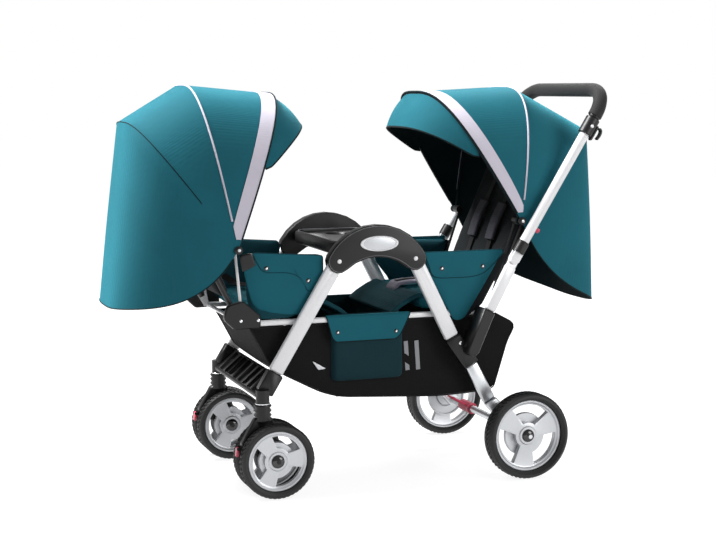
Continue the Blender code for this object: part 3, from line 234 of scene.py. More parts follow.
webbing = woven_cloth("black_harness_webbing", "#101011", "#1e1e20", 0.002, 0.1)
print("cloths:", len(bpy.data.materials))

# %% [markdown]
# The legs and rails are steel tube with a baked powder coat: white, glossy, and with the faint
# orange-peel of powder that has flowed out in the oven. The struts, axle and push bar are drawn
# aluminium with a satin anodised skin. Each hard surface gets a fine grain: its scale, strength and
# depth in metres, and the two close tones that the grain mixes.

# %% The metals
def grained(name, colour, roughness, grain, tones=None, detail=2.0, **values):
    """A hard material with a fine raised grain: orange peel, moulding grain or foam."""
    material = start_material(name, colour, roughness, **values)
    coordinates = add(material, "ShaderNodeTexCoord").outputs["Object"]
    scale, strength, depth = grain
    noise = add(material, "ShaderNodeTexNoise", {"Scale": scale, "Detail": detail}, {"Vector": coordinates})
    bump(material, noise.outputs["Fac"], strength, depth)
    if tones:
        tint(material, noise.outputs["Fac"], *tones)
    return material


white_enamel = grained("white_powder_coat", "#e9e9ec", 0.28, (220.0, 0.25, 0.0002), ("#ececef", "#f7f7f9"),
                       Coat_Weight=0.4, Coat_Roughness=0.12)
satin_aluminium = grained("satin_anodised_aluminium", "#c9cbce", 0.34, (400.0, 0.2, 0.0001),
                          ("#b7babd", "#d3d5d8"), 4.0, Metallic=1.0)
chrome_plate = grained("polished_chrome_plate", "#d8d9dc", 0.12, (60.0, 0.05, 0.0001), Metallic=1.0)
print("cloths and metals:", len(bpy.data.materials))

# %% [markdown]
# The arches, shoes, forks and clamps are ABS, injection moulded with a spark-eroded grain that
# spreads the highlights. The rims are the same plastic with silver paint, the caps and buttons are
# polished, the tyres are solid foamed rubber, and the grip is a matt closed-cell foam.

# %% The plastics, rubber and foam
black_plastic = grained("grained_black_abs", "#121213", 0.4, (900.0, 0.3, 0.0002), ("#0f0f10", "#161617"),
                        Specular_IOR_Level=0.35)
gloss_plastic = grained("polished_black_abs", "#0e0e10", 0.16, (90.0, 0.08, 0.0001), Coat_Weight=0.5)
silver_plastic = grained("silver_painted_abs", "#c4c6c9", 0.38, (700.0, 0.15, 0.0001), ("#b9bbbf", "#ced0d3"),
                         Metallic=0.55)
# This dark grey plastic also paints a highlight: the grey line round the tray's rim stands for light along
# the tray's edge.
grey_plastic_and_painted_highlight = grained("dark_grey_abs_and_painted_highlight", "#5a5b5e", 0.35, (800.0, 0.2, 0.0001), ("#525356", "#626366"))
pink_plastic = grained("pink_moulded_plastic", "#d2405f", 0.3, (500.0, 0.15, 0.0001), ("#c43452", "#dc4c6b"),
                       Subsurface_Weight=0.1)
tyre_rubber = grained("foamed_tyre_rubber", "#161617", 0.62, (500.0, 0.4, 0.0003), ("#0c0c0d", "#151516"))
grip_foam = grained("closed_cell_grip_foam", "#101011", 0.8, (650.0, 0.7, 0.0005), ("#070708", "#0f0f10"),
                    4.0, Sheen_Weight=0.04)
print("materials:", len(bpy.data.materials))

# %% [markdown]
# A few small tools do most of the handling. They put a new mesh in the scene, give a piece its
# material and soft shading and hang it on its part of the frame, spin a profile round an axis as a
# potter would, and bend a round wire along a row of points.

# %% Tools for making and finishing pieces
MERGE_DISTANCE = 1e-5


def only(piece):
    """Selects this piece alone and makes it active."""
    bpy.ops.object.select_all(action="DESELECT")
    piece.select_set(True)
    bpy.context.view_layer.objects.active = piece


def new_piece(name, points, edges=(), faces=()):
    """A new object made from points, edges and faces that are given in the frame."""
    mesh = bpy.data.meshes.new(name)
    mesh.from_pydata([tuple(point) for point in points], list(edges), list(faces))
    return put(name, mesh)


def apply_all(piece):
    """Applies every modifier of a piece, in order."""
    only(piece)
    for modifier in list(piece.modifiers):
        bpy.ops.object.modifier_apply(modifier=modifier.name)
    return piece


def outward(piece, merge=False):
    """Turns a piece's faces outwards, and first merges its doubled points if asked to."""
    only(piece)
    bpy.ops.object.mode_set(mode="EDIT")
    bpy.ops.mesh.select_all(action="SELECT")
    if merge:
        bpy.ops.mesh.remove_doubles(threshold=MERGE_DISTANCE)
    bpy.ops.mesh.normals_make_consistent(inside=False)
    bpy.ops.object.mode_set(mode="OBJECT")
    return piece


def dress(piece, material, body=None, angle=40):
    """Gives a piece its material and soft shading, and lets it ride on a body."""
    piece.data.materials.clear()
    piece.data.materials.append(material)
    only(piece)
    bpy.ops.object.shade_smooth_by_angle(angle=math.radians(angle))
    if body:
        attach(piece, body)
    return piece


def rounded(piece, width, segments=2, angle=35):
    """Bevels the sharp edges of a piece."""
    bevel = piece.modifiers.new("bevel", "BEVEL")
    bevel.width = width
    bevel.segments = segments
    bevel.angle_limit = math.radians(angle)
    return apply_all(piece)


def lathe(name, profile, centre, axis, steps):
    """Spins a closed profile of (radius, distance along the axis) points once round the axis."""
    along = Vector(axis).normalized()
    out = Vector((0, 0, 1)).cross(along) if abs(along.z) < 0.9 else Vector((1, 0, 0))
    out.normalize()
    points = [Vector(centre) + out * radius + along * distance for radius, distance in profile]
    count = len(points)
    piece = new_piece(name, points, [(i, (i + 1) % count) for i in range(count)])
    only(piece)
    bpy.ops.object.mode_set(mode="EDIT")
    bpy.ops.mesh.select_all(action="SELECT")
    bpy.ops.mesh.spin(steps=steps, angle=2 * math.pi, center=centre, axis=along)
    bpy.ops.object.mode_set(mode="OBJECT")
    return outward(piece, merge=True)


def wire(name, points, radius, material, body, closed=False, sides=3):
    """A round wire, cord or tube through a row of points, flat at its ends."""
    curve = bpy.data.curves.new(name, "CURVE")
    curve.dimensions = "3D"
    curve.bevel_depth = radius
    curve.bevel_resolution = sides
    curve.use_fill_caps = not closed
    spline = curve.splines.new("POLY")
    spline.points.add(len(points) - 1)
    for place, point in zip(spline.points, points):
        place.co = (*point, 1)
    spline.use_cyclic_u = closed
    only(put(name, curve))
    bpy.ops.object.convert(target="MESH")
    return dress(bpy.context.object, material, body)


def joined(pieces):
    """Joins pieces into the first one."""
    bpy.ops.object.select_all(action="DESELECT")
    for piece in pieces:
        piece.select_set(True)
    bpy.context.view_layer.objects.active = pieces[0]
    bpy.ops.object.join()
    return bpy.context.object


def button(name, centre, radius, height, material, body, axis):
    """A low domed disc, such as a snap, rivet or cap, that stands on a surface."""
    profile = [(0, 0), (radius, 0), (radius, height * 0.35), (radius * 0.85, height * 0.75),
               (radius * 0.4, height), (0, height)]
    return dress(lathe(name, profile, centre, axis, 20), material, body, 50)


# %% [markdown]
# Most of the frame's parts are already the right shape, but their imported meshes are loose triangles
# with hard edges. A copy with its doubled points merged can be shaded softly, and then stands for
# the part it was copied from. The rear seat's frame is white up to its uprights, which are black.

# %% Soft copies of the frame's own parts
UPRIGHTS_FROM = 0.478
TUBE_EDGE = 0.001


def surfaced(node, material, angle=40, bevel=0.0):
    """A merged and softly shaded copy of a frame part, which takes its place."""
    piece = put(node + "_surface", nodes[node].data.copy())
    shape = bmesh.new()
    shape.from_mesh(piece.data)
    bmesh.ops.remove_doubles(shape, verts=shape.verts, dist=MERGE_DISTANCE)
    bmesh.ops.dissolve_limit(shape, angle_limit=math.radians(1), verts=shape.verts, edges=shape.edges)
    shape.to_mesh(piece.data)
    shape.free()
    if bevel:
        rounded(piece, bevel)
    dress(piece, material, nodes[node]["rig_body"], angle)
    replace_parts(piece, node)
    return piece


for side in SIDES:
    for name in ("front_leg", "rear_leg", "push_tube", "handle_tube"):
        surfaced(f"{name}_{side}", white_enamel, bevel=TUBE_EDGE)
    surfaced(f"rear_strut_{side}", satin_aluminium, bevel=TUBE_EDGE)
    for name in ("rear_joint", "front_bracket", "clamp_lever", "swivel_lock", "fold_button", "caster_fork"):
        finish = pink_plastic if name in ("swivel_lock", "fold_button") else black_plastic
        surfaced(f"{name}_{side}", finish)
surfaced("front_seat_frame", white_enamel)
uprights = surfaced("rear_seat_frame", white_enamel).data
uprights.materials.append(black_plastic)
for face in uprights.polygons:
    face.material_index = int(face.center.z > UPRIGHTS_FROM)
for material, names in (
    (satin_aluminium, ("rear_axle", "handle_bar")),
    (lining_cloth, ("front_canopy_middle_bow", "rear_canopy_middle_bow")),
    (black_plastic, ("front_step", "tray", "basket_board")),
    (pink_plastic, ("brake_pedal",)),
):
    for name in names:
        surfaced(name, material)

# %% [markdown]
# Each tyre is solid rubber. Its crown is spun a little low, and two rows of slanted lugs stand on it
# and bring it to its full size.

# %% Spinning a tyre, with lugs round its crown
LUG_HEIGHT = 0.0022
LUG_ROOT = 0.003
LUG_SIDES = ((0, 4, 5, 1), (2, 3, 7, 6), (1, 5, 7, 3))
LUG_ENDS = ((0, 1, 3, 2), (8, 10, 11, 9))


def tyre(node, radius, width, depth, body, lugs):
    """A tyre with a rounded crown and two rows of slanted lugs."""
    centre = sum(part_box(node), Vector()) / 2
    half, crown, inner = width / 2, radius - LUG_HEIGHT, radius - depth
    shoulder = depth * 0.42
    profile = [(inner, -half * 0.70), (inner, half * 0.70)]
    for step in range(7):
        angle = math.radians(-10 + 100 * step / 6)
        up, out = shoulder * math.sin(angle), shoulder * math.cos(angle)
        profile.append((crown - shoulder + up, half - shoulder + out))
    profile += [(r, -d) for r, d in reversed(profile[2:])]
    rubber = lathe(node + "_rubber", profile, centre, (0, 1, 0), 96)
    points, faces = [], []
    for number in range(lugs):
        for row in (-1, 1):
            turn = 2 * math.pi * (number + 0.25 * row) / lugs
            slant = 0.55 * 2 * math.pi / lugs * row
            start = len(points)
            for along, shift in ((0.06, 0), (0.40, slant * 1.1), (0.66, slant * 1.6)):
                reach = radius if along < 0.6 else radius - depth * 0.22
                for edge in (-1, 1):
                    angle = turn + shift + edge * math.pi / lugs * 0.55
                    for r in (crown - LUG_ROOT, reach):
                        y = row * along * half * 1.35
                        points.append(centre + Vector((math.cos(angle) * r, y, math.sin(angle) * r)))
            for a in (start, start + 4):
                faces += [tuple(a + i for i in face) for face in LUG_SIDES]
            faces += [tuple(start + i for i in face) for face in LUG_ENDS]
    tread = new_piece(node + "_lugs", points, (), faces)
    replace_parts(dress(joined([rubber, tread]), tyre_rubber, body, 35), node)


# %% [markdown]
# The silver rim has three broad spokes. It is a deep moulded dish: a lip round the tyre, a flat
# face, three wide windows whose walls show their depth, an inner flange behind them, and a black
# domed cap over the axle's end. The rim is spun as one solid, and the windows are cut through it.

# %% Spinning a rim and cutting its three windows
def window_cutter(centre, outer, inner, turn):
    """A block in the shape of one window, between two radii, that reaches right through the rim."""
    outline = []
    for radius, first, sweep, steps in ((outer, -39, 78, 12), (inner, 30, -60, 6)):
        for step in range(steps + 1):
            angle = math.radians(turn + first + sweep * step / steps)
            outline.append((radius * math.cos(angle), radius * math.sin(angle)))
    count = len(outline)
    points = [centre + Vector((x, y, z)) for y in (-0.05, 0.05) for x, z in outline]
    faces = [tuple(range(count)), tuple(reversed(range(count, 2 * count)))]
    faces += [(i, i + count, (i + 1) % count + count, (i + 1) % count) for i in range(count)]
    return new_piece("window_cutter", points, (), faces)


def rim(node, radius, outward_side, first_window, body):
    """A silver rim: spun dish, windows cut right through, a flange behind them and a cap."""
    low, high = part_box(node)
    centre, axis = (low + high) / 2, (0, outward_side, 0)
    lip = (high.y - low.y) / 2 * 0.72
    profile = [
        (0.009, lip * 0.9), (0.024, lip * 0.95), (0.027, lip * 0.72), (radius - 0.014, lip * 0.62),
        (radius - 0.010, lip * 0.70), (radius - 0.006, lip), (radius - 0.0012, lip), (radius, lip * 0.8),
        (radius, -lip * 0.8), (radius - 0.004, -lip * 0.8), (radius - 0.007, -lip * 0.5),
        (0.030, -lip * 0.15), (0.028, -lip * 0.75), (0.009, -lip * 0.9),
    ]
    dish = lathe(node + "_dish", profile, centre, axis, 96)
    turns = [first_window + 120 * number for number in range(3)]
    cutters = [window_cutter(centre, radius - 0.0135, 0.036, turn) for turn in turns]
    cutter = outward(joined(cutters))
    cut = dish.modifiers.new("windows", "BOOLEAN")
    cut.operation = "DIFFERENCE"
    cut.solver = "EXACT"
    cut.object = cutter
    apply_all(dish)
    bpy.data.objects.remove(cutter)
    rounded(dish, 0.0009, 2, 50)
    size = radius / 0.1012
    profile = [(0.034, 0.002), (0.060 * size, 0.002), (0.062 * size, -0.006), (0.058 * size, -0.006),
               (0.056 * size, -0.001), (0.034, -0.001)]
    flange = lathe(node + "_flange", profile, centre - Vector(axis) * lip * 0.45, axis, 64)
    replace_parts(dress(joined([dish, flange]), silver_plastic, body, 30), node)
    profile = [(0, 0.0045), (0.006, 0.0042), (0.012, 0.003), (0.0165, 0.0005), (0.0182, -0.003),
               (0.0182, -0.010), (0, -0.010)]
    cap = lathe(node + "_cap", profile, centre + Vector(axis) * (lip + 0.003), axis, 40)
    dress(cap, gloss_plastic, body, 45)


for side, sign in SIDES.items():
    tyre(f"rear_wheel_{side}_tyre", 0.1225, 0.056, 0.021, f"rear_wheel_{side}", 56)
    rim(f"rear_wheel_{side}_rim", 0.1012, sign, 83, f"rear_wheel_{side}")
    for place, facing in (("outer", sign), ("inner", -sign)):
        name = f"front_wheel_{side}_{place}"
        tyre(f"{name}_tyre", 0.102, 0.036, 0.0195, name, 48)
        rim(f"{name}_rim", 0.0822, facing, 64, name)

# %% [markdown]
# Each canopy is one cloth over three arches that turn on one pivot a side: a front bow, a middle bow
# and, behind, the stiffened edge that the cloth hangs from. Every arch is a rounded square, wider
# than it is round, so the cloth has flat sides and a soft crown. Between two arches the cloth is
# pulled straight, and only the drape behind hangs in a soft curve down to a rounded hem. Each arch
# is given as its angle from upright in degrees and its reach from the pivot in metres.

# %% The arches of the two canopies
SQUARENESS = 3.2
HALF_WIDTH = 0.2317
OVER_BOW = 0.0042
COLUMNS = 97
CANOPIES = {
    "front": {
        "pivot": spot(-0.393, 0, 0.669), "end": -1, "visor": (34.5, 0.397), "front": (19.2, 0.428),
        "middle": (-12.2, 0.436), "back": (-37.6, 0.415), "hem": (-117.0, 0.348), "drop": 30.0,
        "piping_from": 3.6,
    },
    "rear": {
        "pivot": spot(0.430, 0, 0.722), "end": 1, "visor": (47.5, 0.386), "front": (32.5, 0.421),
        "middle": (-6.2, 0.371), "back": (-46.0, 0.366), "hem": (-130.5, 0.390), "drop": 24.0,
        "piping_from": 3.0,
    },
}


def arch_point(canopy, angle, reach, turn, width=HALF_WIDTH):
    """A point on an arch: turn runs from 0 at the near pivot to 180 at the far one."""
    power = 2 / SQUARENESS
    across = -math.cos(math.radians(turn))
    out = max(math.sin(math.radians(turn)), 0.0) ** power * reach
    y = math.copysign(abs(across) ** power, across) * width
    lean = math.radians(-canopy["end"] * angle)
    return canopy["pivot"] + Vector((math.sin(lean) * out, y, math.cos(lean) * out))


def straight_between(first, last, steps):
    """The (angle, reach) of arches in cloth that is pulled straight from one arch to another."""
    whole = math.radians(last[0] - first[0])
    found = []
    for step in range(steps + 1):
        part = whole * step / steps
        reach = first[1] * last[1] * math.sin(whole)
        reach /= first[1] * math.sin(part) + last[1] * math.sin(whole - part)
        found.append((first[0] + math.degrees(part), reach))
    return found


def even_turns(canopy, reach, count=COLUMNS, first=0.15):
    """Turns along an arch whose points lie evenly spaced, from one pivot to the other."""
    fine = [first + (180 - 2 * first) * i / 2000 for i in range(2001)]
    points = [arch_point(canopy, 0, reach, turn) for turn in fine]
    length = [0.0]
    for a, b in zip(points, points[1:]):
        length.append(length[-1] + (b - a).length)
    wanted = [length[-1] * i / (count - 1) for i in range(count)]
    return list(np.interp(wanted, length, fine))


print("a canopy's front arch rises", CANOPIES["front"]["front"][1], "m over its pivot")

# %% [markdown]
# A sheet of cloth is a grid of points, row by row from one arch to the next. It gets its thickness
# inwards, so that the lining inside can have its own darker material, and its outer side stays
# where the cloth really lies.

# %% Weaving a sheet from rows of points
def cloth_sheet(name, rows, centre):
    """A sheet woven over rows of points, with no thickness yet, that faces away from a centre."""
    columns = len(rows[0])
    faces = [
        (r * columns + c, r * columns + c + 1, (r + 1) * columns + c + 1, (r + 1) * columns + c)
        for r in range(len(rows) - 1) for c in range(columns - 1)
    ]
    piece = outward(new_piece(name, [point for row in rows for point in row], (), faces), merge=True)
    if sum((face.center - centre).dot(face.normal) * face.area for face in piece.data.polygons) < 0:
        piece.data.flip_normals()
    return piece


def lined(piece, thickness, outside, inside, body=None, offset=-1.0):
    """Gives a sheet its thickness, its outer cloth and its lining."""
    piece.data.materials.clear()
    piece.data.materials.append(outside)
    piece.data.materials.append(inside)
    solid = piece.modifiers.new("thickness", "SOLIDIFY")
    solid.thickness = thickness
    solid.offset = offset
    solid.material_offset = 1
    apply_all(piece)
    bpy.ops.object.shade_smooth_by_angle(angle=math.radians(50))
    if body:
        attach(piece, body)


# %% [markdown]
# The drape's last row drops towards its sides, so the hem runs round in one curve. A thin seam
# follows the stiffened edge, and a binding follows the hem.

# %% The cloths of a canopy
CANOPY_CLOTH = 0.0014
CLOTH_LIFT = OVER_BOW + 0.0015
BOW_GAP = 0.06
SEAM_FROM = 12


def canopy_rows(canopy, arches, drop=0.0):
    """Rows of points over a row of arches, raised over the bows."""
    turns = even_turns(canopy, canopy["front"][1])
    width = HALF_WIDTH + CLOTH_LIFT - CANOPY_CLOTH / 2
    rows = []
    for number, (angle, reach) in enumerate(arches):
        share = number / (len(arches) - 1)
        row = []
        for turn in turns:
            side = 1 - math.sin(math.radians(turn))
            lower = angle - drop * share**2 * side**1.5
            row.append(arch_point(canopy, lower, reach + CLOTH_LIFT, turn, width))
        rows.append(row)
    return rows


def make_canopy(label, canopy):
    """The front and rear cloths, which meet over the middle bow, and the seams of the rear one."""
    seat, middle_body, front_body = f"{label}_seat", f"{label}_canopy_middle", f"{label}_canopy_front"
    front, middle, back, hem = (canopy[arch] for arch in ("front", "middle", "back", "hem"))
    rows = canopy_rows(canopy, straight_between(front, (middle[0] + BOW_GAP, middle[1]), 10))
    panel = cloth_sheet(f"{label}_canopy_front_cloth", rows, canopy["pivot"])
    lined(panel, CANOPY_CLOTH, teal_cloth, lining_cloth)
    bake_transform(panel)
    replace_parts(panel, f"{label}_canopy_front_panel")
    arches = straight_between((middle[0] - BOW_GAP, middle[1]), back, 8) + straight_between(back, hem, 16)[1:]
    rows = canopy_rows(canopy, arches, canopy["drop"])
    drape = cloth_sheet(f"{label}_canopy_rear_cloth", rows, canopy["pivot"])
    lined(drape, CANOPY_CLOTH, teal_cloth, lining_cloth)
    turns = [SEAM_FROM + (180 - 2 * SEAM_FROM) * i / 80 for i in range(81)]
    reach, width = back[1] + CLOTH_LIFT, HALF_WIDTH + CLOTH_LIFT
    seam_line = [arch_point(canopy, back[0], reach, turn, width) for turn in turns]
    wire(f"{label}_canopy_back_seam", seam_line, 0.0011, lining_cloth, seat)
    wire(f"{label}_canopy_hem_binding", rows[-1][2:-2], 0.0016, lining_cloth, seat)
    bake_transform(drape)
    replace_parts(drape, f"{label}_canopy_rear_panel")


# %% [markdown]
# A padded peak stands out ahead of the front bow, whose tube lies inside the cloth's edge. A pale
# tape with a dark edging is sewn along the front, and piping lies over the middle bow.

# %% The visor, the tape and the piping, and both canopies
VISOR_FROM = 24.0
TAPE_WIDTH = 0.042
TAPE_FROM = 0.75
TAPE_LIFT = OVER_BOW + 0.0030
PIPING_LIFT = OVER_BOW + 0.0016


def make_visor(label, canopy):
    """The padded peak with its binding, and the front bow's tube."""
    front, tip, body = canopy["front"], canopy["visor"], f"{label}_canopy_front"
    sweep = 180 - 2 * VISOR_FROM
    rows = []
    for step in range(13):
        share = -0.02 + 1.02 * step / 12
        swell = 0.004 * math.sin(math.pi * min(max(share, 0), 1))
        row = []
        for turn in [VISOR_FROM + sweep * i / 60 for i in range(61)]:
            window = max(math.sin(math.pi * (turn - VISOR_FROM) / sweep), 0.0) ** 0.5
            angle = front[0] + (tip[0] - front[0]) * share * (0.12 + 0.88 * window)
            row.append(arch_point(canopy, angle, front[1] + (tip[1] - front[1]) * share + swell, turn))
        rows.append(row)
    peak = cloth_sheet(f"{label}_visor", rows, canopy["pivot"])
    lined(peak, 0.0036, teal_cloth, lining_cloth, body, 0.0)
    wire(f"{label}_visor_binding", rows[-1], 0.0028, lining_cloth, body)
    points = [arch_point(canopy, *front, turn) for turn in even_turns(canopy, front[1], 61)]
    wire(f"{label}_front_bow_tube", points, 0.0035, lining_cloth, body)
    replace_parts(peak, f"{label}_canopy_front_bow")


def make_trims(label, canopy):
    """The pale tape along the front edge with its dark edging, and the piping over the middle bow."""
    front, middle, body = canopy["front"], canopy["middle"], f"{label}_canopy_front"
    angles, reaches = zip(*straight_between(front, middle, 60)[::-1])
    turns = even_turns(canopy, front[1], first=TAPE_FROM)
    rows = []
    for step in range(9):
        row = []
        for turn in turns:
            out = max(math.sin(math.radians(turn)), 0.0) ** (2 / SQUARENESS)
            spread = math.degrees(TAPE_WIDTH * step / 8 / (front[1] * out + 0.014))
            angle = max(front[0] - spread, angles[0])
            reach = float(np.interp(angle, angles, reaches)) + TAPE_LIFT
            row.append(arch_point(canopy, angle, reach, turn, HALF_WIDTH + TAPE_LIFT))
        rows.append(row)
    tape = cloth_sheet(f"{label}_front_tape", rows, canopy["pivot"])
    lined(tape, 0.0012, band_tape, band_tape, body)
    wire(f"{label}_tape_front_edging", rows[0], 0.0024, lining_cloth, body)
    turns = even_turns(canopy, middle[1], first=canopy["piping_from"])
    reach, width = middle[1] + PIPING_LIFT, HALF_WIDTH + PIPING_LIFT
    points = [arch_point(canopy, middle[0], reach, turn, width) for turn in turns]
    wire(f"{label}_middle_piping", points, 0.0026, band_tape, f"{label}_canopy_middle")


for label, canopy in CANOPIES.items():
    make_canopy(label, canopy)
    make_visor(label, canopy)
    make_trims(label, canopy)
print("canopies dressed:", list(CANOPIES))

# %% [markdown]
# A padded panel has a rounded outline and two faces that swell towards their middle. It is drawn as
# rings that shrink towards the panel's centre and rise as they do, steeply at the sewn edge. A strap
# is a thin flat skin along a line.

# %% Tools for padded panels, lofted bags and straps
CORNER_STEPS = 5
RINGS = (1.0, 0.985, 0.95, 0.88, 0.76, 0.58, 0.34, 0.12)

SNAP_HEIGHT, CAP_RISE = 0.0028, 0.0024


def rounded_outline(corners, steps=CORNER_STEPS):
    """An outline from (x, z, radius) corners measured from the arches' middle, each one rounded."""
    found = []
    for place, (x, z, radius) in enumerate(corners):
        corner = Vector((x, z))
        before = Vector(corners[place - 1][:2]) - corner
        after = Vector(corners[(place + 1) % len(corners)][:2]) - corner
        first = corner + before.normalized() * min(radius, before.length * 0.49)
        last = corner + after.normalized() * min(radius, after.length * 0.49)
        for share in (step / steps for step in range(steps + 1)):
            found.append(first.lerp(corner, share).lerp(corner.lerp(last, share), share))
    return found


def evened(points, spacing, closed=True):
    """The same line with its points about as far apart as spacing."""
    ring = list(points) + ([points[0]] if closed else [])
    lengths = [0.0]
    for a, b in zip(ring, ring[1:]):
        lengths.append(lengths[-1] + (b - a).length)
    count = max(int(round(lengths[-1] / spacing)), 3)
    wanted = [lengths[-1] * i / count for i in range(count + (0 if closed else 1))]
    columns = [np.interp(wanted, lengths, [point[axis] for point in ring]) for axis in range(len(ring[0]))]
    return [Vector(values) for values in zip(*columns)]


def loft(name, rows, material, body, angle=50):
    """A closed skin over rings of points, with both ends closed by a fan."""
    count = len(rows[0])
    points = [point for row in rows for point in row]
    faces = [
        (r * count + c, r * count + (c + 1) % count, (r + 1) * count + (c + 1) % count, (r + 1) * count + c)
        for r in range(len(rows) - 1) for c in range(count)
    ]
    for row, start in ((rows[0], 0), (rows[-1], (len(rows) - 1) * count)):
        points.append(sum((Vector(point) for point in row), Vector()) / count)
        faces += [(start + c, start + (c + 1) % count, len(points) - 1) for c in range(count)]
    return dress(outward(new_piece(name, points, (), faces)), material, body, angle)


def pillow(name, outline, inner, outer, material, body, sharpness=8):
    """A padded panel between two depths: thin along its outline and full thickness in the middle."""
    flat = evened(outline, 0.008)
    centre = sum(flat, Vector((0, 0))) / len(flat)
    middle = (inner + outer) / 2
    rows = []
    for face in (inner, outer):
        rings = []
        for scale in RINGS:
            depth = face + (middle - face) * 0.86 * scale**sharpness
            shrunk = [centre + (p - centre) * scale for p in flat]
            rings.append([spot(p.x, depth, p.y) for p in shrunk])
        rows += rings[::-1] if face == inner else rings
    return loft(name, rows, material, body)


def strap(name, points, width, thickness, material, body, across=(0, 1, 0)):
    """A flat strap along a row of points, width wide along across and thickness deep."""
    line = evened(points, 0.006, False)
    side = Vector(across).normalized()
    rows = []
    for place, point in enumerate(line):
        ahead = line[min(place + 1, len(line) - 1)] - line[max(place - 1, 0)]
        wide, deep = side * width / 2, side.cross(ahead).normalized() * thickness / 2
        rows.append([point - wide - deep, point + wide - deep, point + wide + deep, point - wide + deep])
    return rounded(loft(name, rows, material, body, 40), thickness * 0.3)


def snap(label, name, number, place, radius, cap, body):
    """A glossy snap and the bright cap in its middle, on a panel's outer side."""
    x, depth, z = place
    side = SIDES[name]
    low, high = spot(x, side * depth, z), spot(x, side * (depth + CAP_RISE), z)
    axis = (0, side, 0)
    button(f"{label}_snap_{name}_{number}", low, radius, SNAP_HEIGHT, gloss_plastic, body, axis)
    button(f"{label}_snap_cap_{name}_{number}", high, *cap, chrome_plate, body, axis)


print("rings on a padded panel:", len(RINGS))

# %% [markdown]
# The cushions and backs are foam in a sewn cover. A copy of the plain block is blown up a little as
# cloth, with the stitched seams held where they are, so the foam bulges softly between them. No
# point may move more than a few millimetres, which keeps the pad at its real size.

# %% Stuffing a pad with a short cloth simulation
PRESSURE, FRAMES = 4.0, 14
VOXEL = 0.006
SEAM_REACH = 0.0035
MOST_SWELL = 0.009


def block(name, size):
    """A plain block of this size at the origin."""
    bpy.ops.mesh.primitive_cube_add(size=1)
    piece = bpy.context.object
    piece.name = name
    piece.data.transform(Matrix.Diagonal((*size, 1)))
    return piece


def stuffed(name, size, material, seams):
    """A quilted pad at the origin: a rounded block that swells between its pinned seams."""
    pad = block(name, [side - 0.004 for side in size])
    rounded(pad, min(size) * 0.4, 4)
    remesh = pad.modifiers.new("even faces", "REMESH")
    remesh.mode = "VOXEL"
    remesh.voxel_size = VOXEL
    apply_all(pad)
    rest = np.array([vertex.co for vertex in pad.data.vertices])
    held = np.zeros(len(rest), bool)
    for axis, place in seams:
        held |= abs(rest[:, axis] - place) < SEAM_REACH
    group = pad.vertex_groups.new(name="seams")
    group.add([int(i) for i in np.flatnonzero(held)], 1.0, "REPLACE")
    cloth = pad.modifiers.new("stuffing", "CLOTH")
    cloth.settings.vertex_group_mass = "seams"
    cloth.settings.use_pressure = True
    cloth.settings.uniform_pressure_force = PRESSURE
    cloth.settings.effector_weights.gravity = 0
    for number in range(1, FRAMES + 1):
        bpy.context.scene.frame_set(number)
    apply_all(pad)
    moved = np.array([vertex.co for vertex in pad.data.vertices]) - rest
    length = np.linalg.norm(moved, axis=1, keepdims=True)
    moved *= np.minimum(1.0, MOST_SWELL / np.maximum(length, 1e-9))
    pad.data.vertices.foreach_set("co", (rest + moved).ravel())
    bpy.context.scene.frame_set(1)
    smooth = pad.modifiers.new("smooth", "SUBSURF")
    smooth.levels = 1
    apply_all(pad)
    pad.vertex_groups.clear()
    return dress(pad, material, None, 180)


def placed(piece, turn, centre):
    """Turns a finished piece about the y axis and puts it in its place, all in its mesh."""
    piece.data.transform(Matrix.Translation(centre) @ Matrix.Rotation(math.radians(turn), 4, "Y"))
